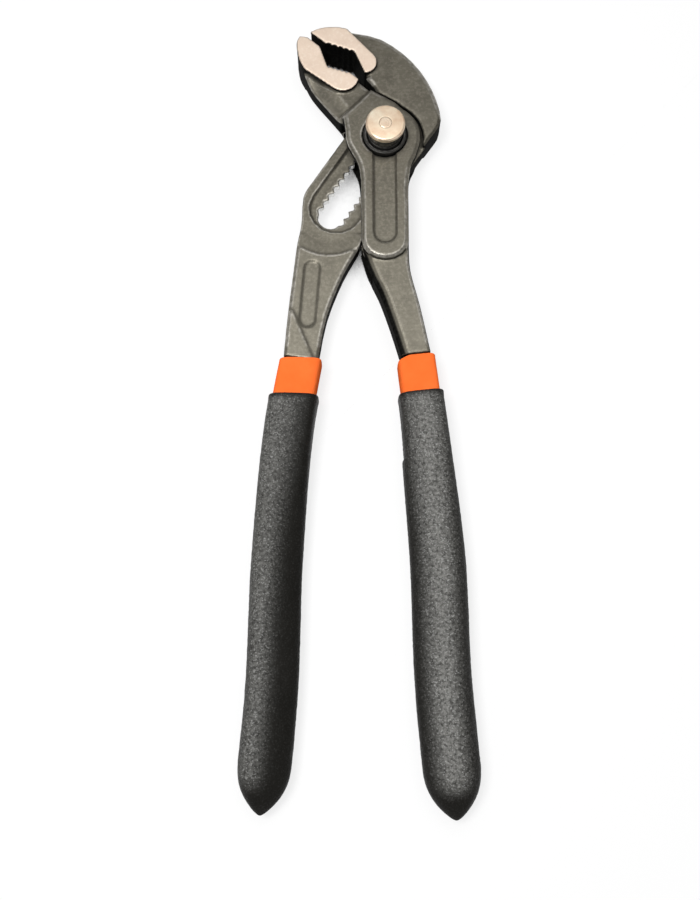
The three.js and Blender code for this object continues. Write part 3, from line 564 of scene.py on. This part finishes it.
def near_oval(points, start, end, radius):
    """1 inside a round-ended oval and just outside: the distance to its middle line, less the radius."""
    start, end = np.array(start), np.array(end)
    run = end - start
    share = np.clip((points[:, :2] - start) @ run / (run @ run), 0, 1)
    away = np.linalg.norm(points[:, :2] - start - share[:, None] * run, axis=1)
    return below(away, radius + 1.3, 0.5)


def black_side(points, normals):
    """1 where the black stays: on upright walls and on faces inside the box."""
    level = np.abs(normals[:, 2])
    upright = np.maximum(below(level, 0.62, 0.3), pad_zone(points) * below(level, 0.88, 0.14))
    inner = above(-normals[:, 2] * np.sign(points[:, 2]), 0.2, 0.3)
    return np.maximum(upright, inner)


def flank_black_and_foot_shade(points, normals):
    """1 on the black left flank of the box lever's neck, and on the foot of its step as painted shade."""
    height = np.abs(points[:, 2])
    flank = below(normals[:, 0], -0.2, 0.2) * below(height, 4.75, 0.3)
    # painted shade: the wall under the end of the bar
    foot = below(np.abs(normals[:, 2]), 0.93, 0.1) * above(height, 5.22, 0.1) * below(height, 5.75, 0.2)
    return below(points[:, 1], -38, 2) * np.maximum(flank, foot)


# %% Rubbed places
def rubbed_edge(points, normals, bend, spared):
    """The bend, without standing edges on upright ridges, in the box, on pads and in spared places."""
    inside = points[:, 2] * normals[:, 2] < 0
    spared = spared + inside + pad_zone(points) + below(points[:, 1], -70, 2)
    reach = above(np.abs(normals[:, 2]), 0.25, 0.3) * (1 - np.clip(spared, 0, 1))
    # below 0 the bend passes on unchanged: hollows that the finish paints as shade
    return np.where(bend > 0, bend * reach, bend)


def neck_arc(points):
    """1 on the curved step where the plate meets its neck."""
    inside, lower = inside_step(points)
    return below(np.abs(inside), 0.6, 0.4) * lower


def rubbed_slopes(points, normals):
    """1 on two rubbed slopes of the box lever: the end of the bar and the jaw's thin rim."""
    height, level = np.abs(points[:, 2]), np.abs(normals[:, 2])
    bar_end = below(points[:, 1], -36, 2) * above(height, 5.7, 0.2) * below(level, 0.96, 0.1)
    rim = ease(jaw_rim(points) * 4) * below(level, 0.92, 0.05) * above(level, 0.6, 0.1)
    return np.maximum(bar_end, rim)


# %% Box lever
SLOPE_WEAR, ARC_WEAR, RIM_SHADE = 0.04, 0.045, 0.08

box_lever, points, normals, bend = softened_copy("box_lever_forging", "box_lever", SKIN, jaw_hold, jaw_taper)
neck_left = below(points[:, 1], -40, 2) * (normals[:, 0] < -0.1)
groove = below(np.linalg.norm(points[:, :2], axis=1), 14, 1) * above(points[:, 0] + points[:, 1] / 2, 0, 2)
spared = near_oval(points, *RECESS) + neck_left + 0.7 * groove
# painted shade on the flat face of the jaw's thin rim
shade = RIM_SHADE * jaw_rim(points) * (np.abs(normals[:, 2]) > 0.85)
edge = rubbed_edge(points, normals, bend, spared) - shade
slopes = rubbed_slopes(points, normals)
paint(box_lever, "pad", ground_pad(points, normals))
paint(box_lever, "side", np.maximum(black_side(points, normals), flank_black_and_foot_shade(points, normals)))
paint(box_lever, "edge", edge * (1 - slopes) + SLOPE_WEAR * slopes)
print("rubbed slopes:", int((slopes > 0.5).sum()), "points")

# %% Slotted lever
slotted_lever, points, normals, bend = softened_copy("slotted_lever_forging", "slotted_lever", SKIN,
                                                     slot_hold, neck_ramp)
level = np.abs(normals[:, 2])
groove = below(np.linalg.norm(points[:, :2], axis=1), 20, 1.5) * (beyond_nose(points) < PAD_START)
# painted shade: the hook's edge along the groove is darkened half way towards black
groove_shade = 0.5 * groove * above(points[:, 1], -14, 2) * below(level, 0.985, 0.04)
# the broached slot's walls: bare steel, painted near white as if brightly lit
broached = slot_zone(points) * below(level, 0.55, 0.3)
# hollows above y = -37 mm keep only half their painted shade
shallow = np.where(bend < 0, bend * (1 - 0.5 * above(points[:, 1], -37, 2)), bend)
edge = rubbed_edge(points, normals, shallow, near_oval(points, *NECK_OVAL) + groove)
arc = neck_arc(points)
paint(slotted_lever, "pad", ground_pad(points, normals))
paint(slotted_lever, "bare_lit", broached)
paint(slotted_lever, "side", np.maximum(black_side(points, normals), groove_shade) * (1 - broached))
paint(slotted_lever, "edge", edge * (1 - arc) + ARC_WEAR * arc)
print("broached:", int((broached > 0.5).sum()), "points")

# %% [markdown]
# ## The pin
# The pin is turned and broached, with sharp but not raw edges, so it gets a finer skin. Its riveted end, seen
# in the middle of the button, is held almost still.

# %% Joint pin
PIN_SKIN = 0.16
RIVET_HELD = 12.6
RIVET_FROM = PIVOT[2] + 12.4 * MM


def rivet_hold(points):
    """Near 1 on the riveted end."""
    return 0.9 * (points[:, 2] > RIVET_HELD)


joint_pin, _, _, _ = softened_copy("locking_pin", "joint_pin", PIN_SKIN, rivet_hold)

# %% [markdown]
# ## Turned pieces
# Collar, stem, button and washer are turned on a lathe, and so are these: a profile of radius and height is
# carried round the axis. Corners are rounded a little, since a turned edge is always broken. The button's
# face keeps the fine rings that the tool leaves.

# %% Lathe
LATHE_SIDES, BUTTON_SIDES = 120, 144
CORNER_STEPS = 5


def rounded(corners, radii):
    """Rounds a closed profile: each corner c becomes the curve (1-t)^2 a + 2t(1-t) c + t^2 b."""
    corner = np.array(corners, float)
    cut = np.broadcast_to(radii, len(corner))[:, None]
    back = np.roll(corner, 1, axis=0) - corner
    ahead = np.roll(corner, -1, axis=0) - corner
    a = (corner + cut * unit(back))[:, None]
    b = (corner + cut * unit(ahead))[:, None]
    t = np.linspace(0, 1, CORNER_STEPS)[None, :, None]
    return ((1 - t) ** 2 * a + 2 * t * (1 - t) * corner[:, None] + t ** 2 * b).reshape(-1, 2)


def turned(name, profile, sides=LATHE_SIDES):
    """Carries a closed profile round the axis: x = r cos, y = r sin, z = height."""
    angle = circle(sides)[:, None]
    radius, height = profile[:, 0], np.broadcast_to(profile[:, 1], (sides, len(profile)))
    points = np.stack([radius * np.cos(angle), radius * np.sin(angle), height], -1)
    return put_piece(name, points.reshape(-1, 3), ring_faces(sides, len(profile)))


collar_profile = rounded([(5.9, 3.7), (7.0, 3.7), (7.0, 6.9), (5.9, 6.9)], [0.2, 0.2, 0.4, 0.2])
collar = turned("collar_ring", collar_profile)
collar_rim = 0.2 * (collar_profile[:, 0] < 6.2) * (collar_profile[:, 1] > 6.6)
paint(collar, "edge", np.tile(collar_rim, LATHE_SIDES))
stem = turned("button_tube", rounded([(4.8, 4.6), (5.6, 4.6), (5.6, 11.2), (4.8, 11.2)], 0.25))
washer = turned("spring_washer", rounded([(3.4, 2.0), (4.5, 2.0), (4.5, 2.6), (3.4, 2.6)], 0.15))

# %% Button
BUTTON_RIM, BUTTON_HOLE, BUTTON_BEVEL = 6.25, 2.0, 5.85
BUTTON_LOW, BUTTON_HIGH = 11.5, 13.9
face_radius = np.arange(5.55, BUTTON_HOLE + 0.15, -0.055)
face_rings = 0.005 * np.sin(face_radius * 2 * np.pi / 0.33) + 0.004 * np.sin(face_radius * 2 * np.pi / 0.47)
face_height = BUTTON_HIGH - 0.02 - 0.10 * (face_radius / BUTTON_RIM) ** 2 + face_rings
button_corners = [(BUTTON_HOLE, BUTTON_LOW), (BUTTON_BEVEL, BUTTON_LOW), (BUTTON_RIM, BUTTON_LOW + 0.6),
                  (BUTTON_RIM, BUTTON_HIGH - 0.5), (BUTTON_BEVEL, BUTTON_HIGH - 0.1),
                  (BUTTON_HOLE, BUTTON_HIGH - 0.04)]
button_side = rounded(button_corners, [0.1, 0.2, 0.3, 0.35, 0.25, 0.03])
face_at = CORNER_STEPS * (len(button_corners) - 1)
button_face = np.stack([face_radius, face_height], axis=-1)
button_profile = np.concatenate([button_side[:face_at], button_face, button_side[face_at:]])
button = turned("button_cap", button_profile, BUTTON_SIDES)

# %% [markdown]
# ## The spring
# A helix of round wire. Real ends are wound closer than the middle, so the rise is slower at both ends:
# height grows as u - 0.2865 sin(2 pi u / 3) over three curls.

# %% Button spring
SPRING_LOW, SPRING_HIGH, SPRING_RADIUS, WIRE = 2.9, 11.2, 3.95, 0.35
CURLS = 3
curl = np.linspace(0, CURLS, 181)
climb = (curl - 0.2865 * np.sin(2 * np.pi * curl / CURLS)) / CURLS
spring_line = np.stack([SPRING_RADIUS * np.cos(2 * np.pi * curl), SPRING_RADIUS * np.sin(2 * np.pi * curl),
                        SPRING_LOW + WIRE + (SPRING_HIGH - SPRING_LOW - 2 * WIRE) * climb], axis=-1)
wire_along = unit(np.gradient(spring_line, axis=0))
wire_side = unit(np.cross([0, 0, 1], wire_along))
wire_up = np.cross(wire_along, wire_side)
turn = circle(14)[None, :, None]
wire_ring = np.cos(turn) * wire_side[:, None] + np.sin(turn) * wire_up[:, None]
spring_rings = spring_line[:, None] + WIRE * wire_ring
spring = put_piece("wound_spring", capped(spring_rings), tube_faces(*spring_rings.shape[:2]))

# %% [markdown]
# ## Finishes: shared effects
# Wear, mottling, brush lines, lathe rings and grain return in several finishes, so each is a node group with
# its own inputs. A group gives only masks and heights. The shader itself stays in each finish.


# %% Node helpers
def set_socket(tree, socket, value):
    """Links a socket to another one, or writes a plain value on it."""
    if isinstance(value, bpy.types.NodeSocket):
        tree.links.new(value, socket)
    else:
        socket.default_value = value


def feed(tree, node, **values):
    """Links or writes values on a node's inputs of those names, with _ for a space."""
    for key, value in values.items():
        set_socket(tree, node.inputs[key.replace("_", " ")], value)


def add(tree, kind, *values, settings=None, **inputs):
    """Adds a node. Values fill its inputs in order, and named ones by name."""
    made = tree.nodes.new(kind)
    for key, value in (settings or {}).items():
        setattr(made, key, value)
    for socket, value in zip(made.inputs, values):
        set_socket(tree, socket, value)
    feed(tree, made, **inputs)
    return made


def calc(tree, operation, *values, clamp=False):
    """One Math node."""
    settings = dict(operation=operation, use_clamp=clamp)
    return add(tree, "ShaderNodeMath", *values, settings=settings).outputs[0]


def per_mm(tree, size):
    """The scale of a texture: how many times a size in mm goes into a metre."""
    return calc(tree, "DIVIDE", 1000.0, size)


def blend(tree, factor, first, second):
    """One colour Mix node: its factor and its two colours are sockets 0, 6 and 7."""
    mixer = add(tree, "ShaderNodeMix", factor, settings=dict(data_type="RGBA"))
    for socket, value in ((mixer.inputs[6], first), (mixer.inputs[7], second)):
        set_socket(tree, socket, (*value, 1) if isinstance(value, tuple) else value)
    return mixer.outputs[2]


def layer(tree, mask, share, under, over):
    """Lays a colour over another one by a share of a mask."""
    return blend(tree, calc(tree, "MULTIPLY", mask, share), under, over)


def span(tree, value, low, high, to_low=0.0, to_high=1.0):
    """One clamped Map Range node."""
    return add(tree, "ShaderNodeMapRange", value, low, high, to_low, to_high).outputs[0]


# %% Groups and textures
def new_group(name, inputs, outputs):
    """An empty shader group with named float or vector inputs and float outputs."""
    tree = bpy.data.node_groups.new(name, "ShaderNodeTree")
    for label, value in inputs.items():
        kind = "NodeSocketVector" if value is None else "NodeSocketFloat"
        socket = tree.interface.new_socket(label, in_out="INPUT", socket_type=kind)
        if value is not None:
            socket.default_value = value
    for label in outputs:
        tree.interface.new_socket(label, in_out="OUTPUT", socket_type="NodeSocketFloat")
    return tree, tree.nodes.new("NodeGroupInput").outputs, tree.nodes.new("NodeGroupOutput").inputs


def noise(tree, place, scale, detail, roughness):
    """One Noise texture."""
    made = add(tree, "ShaderNodeTexNoise", Vector=place, Scale=scale, Detail=detail, Roughness=roughness)
    return made.outputs[0]


def vector_calc(tree, operation, *values):
    """One Vector Math node."""
    return add(tree, "ShaderNodeVectorMath", *values, settings=dict(operation=operation)).outputs


# %% Mottling
mottle, given, out = new_group("mottling", {"Place": None, "Size mm": 5.0, "Contrast": 1.0}, ["Tone"])
blotch = noise(mottle, given["Place"], per_mm(mottle, given["Size mm"]), 5.0, 0.6)
spread = calc(mottle, "MULTIPLY", calc(mottle, "SUBTRACT", blotch, 0.5), given["Contrast"])
mottle.links.new(calc(mottle, "ADD", spread, 0.5, clamp=True), out["Tone"])

# %% Brush lines
brush, given, out = new_group("brush_lines", {"Place": None, "Length mm": 6.0, "Width mm": 0.25}, ["Height"])
narrow = per_mm(brush, given["Width mm"])
stretch = add(brush, "ShaderNodeCombineXYZ", per_mm(brush, given["Length mm"]), narrow, narrow)
stretched = vector_calc(brush, "MULTIPLY", given["Place"], stretch.outputs[0])[0]
brush.links.new(noise(brush, stretched, 1.0, 3.0, 0.55), out["Height"])

# %% Edge wear
wear_inputs = {"Place": None, "Edge": 0.0, "Start": 0.02, "Full": 0.1, "Patch mm": 1.5}
wear, given, out = new_group("edge_wear", wear_inputs, ["Mask"])
rise = span(wear, given["Edge"], given["Start"], given["Full"])
flaking = noise(wear, given["Place"], per_mm(wear, given["Patch mm"]), 4.0, 0.65)
patch = span(wear, flaking, 0.38, 0.62, 0.25, 1.0)
wear.links.new(calc(wear, "MULTIPLY", rise, patch), out["Mask"])

# %% Coat grain
grain, given, out = new_group("coat_grain", {"Place": None, "Size mm": 0.6}, ["Height", "Glint"])
scale = per_mm(grain, given["Size mm"])
cells = add(grain, "ShaderNodeTexVoronoi", Vector=given["Place"], Scale=scale,
            settings=dict(feature="SMOOTH_F1")).outputs["Distance"]
crumbs = noise(grain, given["Place"], calc(grain, "MULTIPLY", scale, 2.3), 3.0, 0.6)
bumps = calc(grain, "ADD", calc(grain, "SUBTRACT", 1.0, cells), calc(grain, "MULTIPLY", crumbs, 0.6))
grain.links.new(bumps, out["Height"])
grain.links.new(span(grain, bumps, 1.02, 1.28), out["Glint"])

# %% Lathe rings
lathe, given, out = new_group("lathe_rings", {"Place": None, "Width mm": 0.17}, ["Height"])
centred = vector_calc(lathe, "SUBTRACT", given["Place"], tuple(PIVOT))[0]
flat = vector_calc(lathe, "MULTIPLY", centred, (1.0, 1.0, 0.0))[0]
away = vector_calc(lathe, "LENGTH", flat)["Value"]
count = calc(lathe, "DIVIDE", calc(lathe, "MULTIPLY", away, 1000.0), given["Width mm"])
step = add(lathe, "ShaderNodeCombineXYZ", count).outputs[0]
lathe.links.new(noise(lathe, step, 1.0, 4.0, 0.7), out["Height"])
print("groups:", [tree.name for tree in bpy.data.node_groups])

# %% [markdown]
# ## Finishes
# Each finish is one Principled shader. What is the same all over is written on the shader's own socket. What
# varies comes from the shared effects and from the masks that were painted on the points.


# %% Start of a finish
def new_finish(name, **plain):
    """A material with one Principled shader. Plain values go on its sockets. Returns its place socket too."""
    finish = bpy.data.materials.new(name)
    finish.use_nodes = True
    tree = finish.node_tree
    shader = tree.nodes["Principled BSDF"]
    feed(tree, shader, **plain)
    place = tree.nodes.new("ShaderNodeTexCoord").outputs["Object"]
    return finish, tree, shader, place


def effect(tree, group, **inputs):
    """Places a shared effect in a finish."""
    made = tree.nodes.new("ShaderNodeGroup")
    made.node_tree = group
    feed(tree, made, **inputs)
    return made.outputs


def mottled(tree, place, size_mm, contrast):
    """Blotches of one size, from the shared mottling."""
    return effect(tree, mottle, Place=place, Size_mm=size_mm, Contrast=contrast)["Tone"]


def painted(tree, name):
    """Reads a mask that was painted on the points."""
    return add(tree, "ShaderNodeAttribute", settings=dict(attribute_name=name)).outputs["Fac"]


def raise_bumps(tree, shader, height, strength, depth_mm):
    """Feeds a height to the shader's normal."""
    bump = add(tree, "ShaderNodeBump", Strength=strength, Distance=depth_mm * MM, Height=height)
    feed(tree, shader, Normal=bump.outputs[0])


# %% [markdown]
# ### Blacked steel with ground pads
# Brushed faces are a warm dark grey, painted a little paler towards the handles as a highlight. Black
# stays on the sides, and more black is painted as shade at the foot of the bar's end and along the hook's
# groove. Wear shows bright metal on edges, hollows get painted shade, and the pads are ground to pale metal
# whose warm tint is painted in for warm reflected light. The layers lie over each other in that order.

# %% Blacked steel
STEEL_DARK, STEEL_PALE = (0.088, 0.081, 0.065), (0.158, 0.146, 0.116)
BRUSHED, SPECKED, NECK_HIGHLIGHT = (0.200, 0.184, 0.150), (0.240, 0.220, 0.180), (0.250, 0.235, 0.190)
BLACK_DEEP, BLACK_DUSTY = (0.002, 0.002, 0.0018), (0.012, 0.012, 0.011)
WORN_STEEL, HOLLOW_SHADE, BARE_LIT_STEEL = (0.42, 0.40, 0.36), (0.022, 0.021, 0.019), (0.92, 0.92, 0.90)
PAD_DARK, PAD_PALE, PAD_GLINT = (0.68, 0.54, 0.43), (0.80, 0.66, 0.54), (0.86, 0.76, 0.66)
NECK_HIGHLIGHT_FROM, NECK_HIGHLIGHT_TO = PIVOT[1] - 15 * MM, PIVOT[1] - 65 * MM

blacked_steel, tree, shader, place = new_finish("blacked_steel_finish", Specular_IOR_Level=0.0)
edge, pad, side, bare_lit = (painted(tree, name) for name in ("edge", "pad", "side", "bare_lit"))
tone = mottled(tree, place, 6.0, 1.5)
fine = mottled(tree, place, 1.0, 2.6)
lines = effect(tree, brush, Place=place, Length_mm=7.0, Width_mm=0.22)["Height"]
worn = effect(tree, wear, Place=place, Edge=edge, Start=0.010, Full=0.036, Patch_mm=1.6)["Mask"]
neck_highlight = span(tree, add(tree, "ShaderNodeSeparateXYZ", place).outputs["Y"], NECK_HIGHLIGHT_FROM, NECK_HIGHLIGHT_TO)
steel = blend(tree, tone, STEEL_DARK, STEEL_PALE)
steel = layer(tree, span(tree, lines, 0.35, 0.7), 0.22, steel, BRUSHED)
steel = layer(tree, span(tree, fine, 0.4, 0.85), 0.42, steel, SPECKED)
# painted highlight: the steel is paler towards the handles, where the back lamp's reflection lies
steel = layer(tree, neck_highlight, 0.22, steel, NECK_HIGHLIGHT)
steel = blend(tree, side, steel, blend(tree, fine, BLACK_DEEP, BLACK_DUSTY))
steel = layer(tree, worn, 0.8, steel, WORN_STEEL)
# painted shade in hollows, where edge is below 0
steel = layer(tree, span(tree, edge, -0.03, -0.12), 0.5, steel, HOLLOW_SHADE)
# the pads' warm tint is painted in for warm reflected light
ground = blend(tree, tone, PAD_DARK, PAD_PALE)
ground = layer(tree, span(tree, fine, 0.55, 0.85), 0.35, ground, PAD_GLINT)
# the broached walls are painted near white, as bare steel that is brightly lit
colour = blend(tree, bare_lit, blend(tree, pad, steel, ground), BARE_LIT_STEEL)
rough = calc(tree, "SUBTRACT", span(tree, lines, 0.3, 0.75, 0.50, 0.38), calc(tree, "MULTIPLY", worn, 0.08))
metal = calc(tree, "SUBTRACT", 0.72, calc(tree, "MULTIPLY", pad, 0.32))
metal = calc(tree, "MULTIPLY", metal, span(tree, side, 0.0, 1.0, 1.0, 0.15))
feed(tree, shader, Base_Color=colour, Roughness=rough, Metallic=metal)
raise_bumps(tree, shader, calc(tree, "ADD", calc(tree, "MULTIPLY", lines, 0.5), fine), 0.35, 0.03)

# %% [markdown]
# ### Steel of the joint
# Collar and stem are oiled black steel, the stem the glossier one. The button and the pin's riveted end are
# turned bright, and their warm tone is painted in for the warm light they reflect. The spring is drawn wire
# with fine streaks.


# %% Black steel
def black_finish(name, dark, pale, smooth, dull):
    """Oiled black steel: two tones of black and of gloss, and a rubbed rim where edge is painted."""
    finish, tree, shader, place = new_finish(name, Metallic=0.7, Specular_IOR_Level=0.3)
    tone = mottled(tree, place, 2.0, 1.4)
    edge = painted(tree, "edge")
    worn = effect(tree, wear, Place=place, Edge=edge, Start=0.02, Full=0.15, Patch_mm=1.2)["Mask"]
    black = layer(tree, worn, 0.7, blend(tree, tone, dark, pale), (0.22, 0.21, 0.20))
    feed(tree, shader, Base_Color=black, Roughness=span(tree, tone, 0.2, 0.8, smooth, dull))
    raise_bumps(tree, shader, tone, 0.12, 0.02)
    return finish


black_steel = black_finish("black_steel_finish", (0.026, 0.026, 0.024), (0.050, 0.048, 0.044), 0.36, 0.48)
stem_steel = black_finish("stem_steel_finish", (0.050, 0.048, 0.045), (0.110, 0.106, 0.100), 0.10, 0.20)

# %% Turned steel
WARM_DARK, WARM_PALE, RING_TOP = (0.66, 0.45, 0.29), (0.88, 0.78, 0.61), (0.86, 0.77, 0.66)
turned_steel, tree, shader, place = new_finish("turned_steel_finish", Metallic=0.8)
rings = effect(tree, lathe, Place=place)["Height"]
tone = mottled(tree, place, 5.0, 2.6)
# the button's warm tone is painted in for warm reflected light
warm = blend(tree, tone, WARM_DARK, WARM_PALE)
warm = layer(tree, span(tree, rings, 0.4, 0.7), 0.25, warm, RING_TOP)
feed(tree, shader, Base_Color=warm, Roughness=span(tree, rings, 0.3, 0.7, 0.36, 0.26))
raise_bumps(tree, shader, rings, 0.15, 0.03)

# %% Pin steel
pin_steel, tree, shader, place = new_finish("pin_steel_finish")
height = add(tree, "ShaderNodeSeparateXYZ", place).outputs["Z"]
bright = span(tree, height, RIVET_FROM, RIVET_FROM + 0.2 * MM)
rings = effect(tree, lathe, Place=place)["Height"]
tone = mottled(tree, place, 2.0, 1.6)
dark = blend(tree, tone, (0.010, 0.010, 0.010), (0.024, 0.023, 0.022))
# the rivet end's warm tone is painted in for warm reflected light
warm = blend(tree, tone, (0.68, 0.49, 0.34), (0.82, 0.71, 0.57))
feed(tree, shader, Base_Color=blend(tree, bright, dark, warm),
     Roughness=span(tree, rings, 0.3, 0.7, 0.36, 0.24), Metallic=span(tree, bright, 0.0, 1.0, 0.6, 0.8))
raise_bumps(tree, shader, rings, 0.15, 0.03)

# %% Spring steel
spring_steel, tree, shader, place = new_finish("spring_steel_finish", Metallic=0.95)
lines = effect(tree, brush, Place=place, Length_mm=2.0, Width_mm=0.08)["Height"]
feed(tree, shader, Base_Color=blend(tree, lines, (0.24, 0.24, 0.23), (0.42, 0.42, 0.41)),
     Roughness=span(tree, lines, 0.3, 0.7, 0.24, 0.38))
raise_bumps(tree, shader, lines, 0.10, 0.02)

# %% [markdown]
# ### Dipped coats
# The orange coat is smooth and satin. The black one is dull and nearly black away from its painted highlight.
# That painted highlight greys it grain by grain, and pale specks, painted glints, sparkle where the highlight
# is strongest.

# %% Orange coat
orange_coat, tree, shader, place = new_finish("orange_coat_finish", Specular_IOR_Level=0.0)
tone = mottled(tree, place, 7.0, 1.2)
skin = effect(tree, grain, Place=place, Size_mm=0.5)["Height"]
feed(tree, shader, Base_Color=blend(tree, tone, (0.90, 0.140, 0.024), (0.96, 0.195, 0.045)),
     Roughness=span(tree, tone, 0.2, 0.8, 0.46, 0.34))
raise_bumps(tree, shader, skin, 0.05, 0.03)

# %% Black coat
COAT_DARK, COAT_PALE = (0.007, 0.0066, 0.0054), (0.012, 0.0113, 0.0098)
SHEEN_GREY, GLINT, GLINT_SPECK = (0.185, 0.183, 0.172), (0.085, 0.085, 0.086), (0.36, 0.36, 0.35)
black_coat, tree, shader, place = new_finish("black_coat_finish", Specular_IOR_Level=0.08)
grip_sheen = painted(tree, "grip_sheen")
tone = mottled(tree, place, 8.0, 1.4)
sand = mottled(tree, place, 0.9, 3.4)
glint_specks = mottled(tree, place, 0.5, 2.6)
skin = effect(tree, grain, Place=place, Size_mm=0.5)
coat = blend(tree, tone, COAT_DARK, COAT_PALE)
# painted highlight on the grips, with painted glints and specks that sparkle where it is strongest
coat = layer(tree, grip_sheen, span(tree, sand, 0.0, 1.0, 0.2, 1.0), coat, SHEEN_GREY)
coat = layer(tree, skin["Glint"], span(tree, grip_sheen, 0.0, 0.5, 0.08, 0.5), coat, GLINT)
coat = layer(tree, span(tree, glint_specks, 0.62, 0.9), span(tree, grip_sheen, 0.0, 0.8, 0.03, 0.7), coat, GLINT_SPECK)
feed(tree, shader, Base_Color=coat, Roughness=span(tree, skin["Height"], 0.7, 1.3, 0.50, 0.34))
raise_bumps(tree, shader, skin["Height"], 0.8, 0.14)
print("finishes:", [finish.name for finish in bpy.data.materials if finish.name.endswith("_finish")])

# %% [markdown]
# ## Dress the frame
# Each new piece takes its finish, stands for its plain solid and rides on the same body.
# The spring rides on its seat and gets a mesh of its own.

# %% Ride and replace
DRESS = [
    (box_lever, "box_lever", "box", blacked_steel, "blacked_steel"),
    (slotted_lever, "slotted_lever", "slotted", blacked_steel, "blacked_steel"),
    (collar, "guide_collar", "box", black_steel, "black_steel"),
    (stem, "button_stem", "button", stem_steel, "black_steel"),
    (joint_pin, "joint_pin", "button", pin_steel, "black_steel"),
    (button, "push_button", "button", turned_steel, "turned_steel"),
    (washer, "thrust_washer", "spring_seat", spring_steel, "spring_steel"),
    (spring, "button_spring", "spring_seat", spring_steel, "spring_steel"),
    (liners["left"], "left_grip_liner", "slotted", orange_coat, "orange_coat"),
    (liners["right"], "right_grip_liner", "box", orange_coat, "orange_coat"),
    (sleeves["left"], "left_grip_sleeve", "slotted", black_coat, "black_coat"),
    (sleeves["right"], "right_grip_sleeve", "box", black_coat, "black_coat"),
]
for piece, node, body, finish, slot in DRESS:
    piece.data.materials.clear()
    piece.data.materials.append(finish)
    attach(piece, body)
    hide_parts(node)
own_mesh(spring)
print("dressed:", len(DRESS), "pieces")

# %% [markdown]
# ## Floor and light
# The tool lies on a plain white floor. To the camera and to the metal it looks white and still takes a
# shadow, yet it throws less light back than a white floor would. Deep between the jaws it is dark: Ambient
# Occlusion gives the share of open sky over a spot. The sky is pale round the horizon and darker overhead, so
# rounded coats get dark flanks. A soft lamp to the upper left lights the grips, and a broad one behind the
# jaws lights the steel.

# %% Floor
FLOOR_LEVEL = -0.0002
FLOOR_CORNERS = ((-8, -8), (8, -8), (8, 8), (-8, 8))
OPEN_REACH, SHUT_BELOW, OPEN_ABOVE = 0.02, 0.12, 0.26
WHITE_SHARE = 0.78
FLOOR_SHUT, FLOOR_SEEN, FLOOR_UNSEEN = (0.03, 0.03, 0.03), (0.92, 0.92, 0.92), (0.45, 0.45, 0.45)
floor_mesh = bpy.data.meshes.new("floor")
floor_mesh.from_pydata([(x, y, FLOOR_LEVEL) for x, y in FLOOR_CORNERS], [], [(0, 1, 2, 3)])
floor = new_object("floor", floor_mesh)

floor_paint = bpy.data.materials.new("floor_paint")
floor_paint.use_nodes = True
tree = floor_paint.node_tree
tree.nodes.clear()
path = tree.nodes.new("ShaderNodeLightPath").outputs
mirror = calc(tree, "MAXIMUM", path["Is Glossy Ray"], path["Is Transmission Ray"])
seen = calc(tree, "MAXIMUM", path["Is Camera Ray"], mirror)
open_sky = add(tree, "ShaderNodeAmbientOcclusion", Distance=OPEN_REACH, settings=dict(samples=16))
in_open = span(tree, open_sky.outputs["AO"], SHUT_BELOW, OPEN_ABOVE)
# painted shade: the floor's colour and glow darken where little open sky is left, deep between the jaws
seen_colour = blend(tree, in_open, FLOOR_SHUT, FLOOR_SEEN)
matt = add(tree, "ShaderNodeBsdfDiffuse", blend(tree, seen, FLOOR_UNSEEN, seen_colour)).outputs[0]
white = add(tree, "ShaderNodeEmission", (1, 1, 1, 1), in_open).outputs[0]
floor_mix = add(tree, "ShaderNodeMixShader", calc(tree, "MULTIPLY", seen, WHITE_SHARE), matt, white)
add(tree, "ShaderNodeOutputMaterial", floor_mix.outputs[0])
floor_mesh.materials.append(floor_paint)

# %% Sky and lamps
SKY_PALE, SKY_DARK = 0.95, 0.18
world = bpy.data.worlds.new("studio")
bpy.context.scene.world = world
world.use_nodes = True
tree = world.node_tree
tree.nodes.clear()
sky_way = add(tree, "ShaderNodeSeparateXYZ", tree.nodes.new("ShaderNodeTexCoord").outputs["Generated"])
sky_light = span(tree, sky_way.outputs["Z"], 0.12, 0.45, SKY_PALE, SKY_DARK)
sky = add(tree, "ShaderNodeBackground", (1, 1, 1, 1), sky_light)
add(tree, "ShaderNodeOutputWorld", sky.outputs[0])


def soft_lamp(name, place, aim, size, power):
    """A square area lamp that looks at a point."""
    data = bpy.data.lights.new(name, "AREA")
    data.size, data.energy = size, power
    lamp = new_object(name, data)
    lamp.location = place
    aim_line = Vector(np.array(aim) - np.array(place))
    lamp.rotation_euler = aim_line.to_track_quat("-Z", "Y").to_euler()


soft_lamp("key_lamp", (-0.16, -0.05, 0.60), (0.0, -0.02, 0.0), 0.18, 2.6)
soft_lamp("back_lamp", (0.0, 0.13, 0.55), (0.0, 0.03, 0.0), 0.45, 1.4)
bpy.context.scene.view_settings.view_transform = "Standard"

# %% [markdown]
# ## Camera
# The photograph looks down on the tool from the grips' side, a little tilted, close enough that the jaws come
# out smaller than the grips. The image is 700 by 900, with 36 mm of sensor on its long side.

# %% Set the camera
camera_data = bpy.data.cameras.new("camera")
camera_data.lens = 44
camera = new_object("camera", camera_data)
camera.location = (-0.002609, -0.101593, 0.3296)
camera.rotation_euler = (radians(14.5), 0, 0)
bpy.context.scene.camera = camera
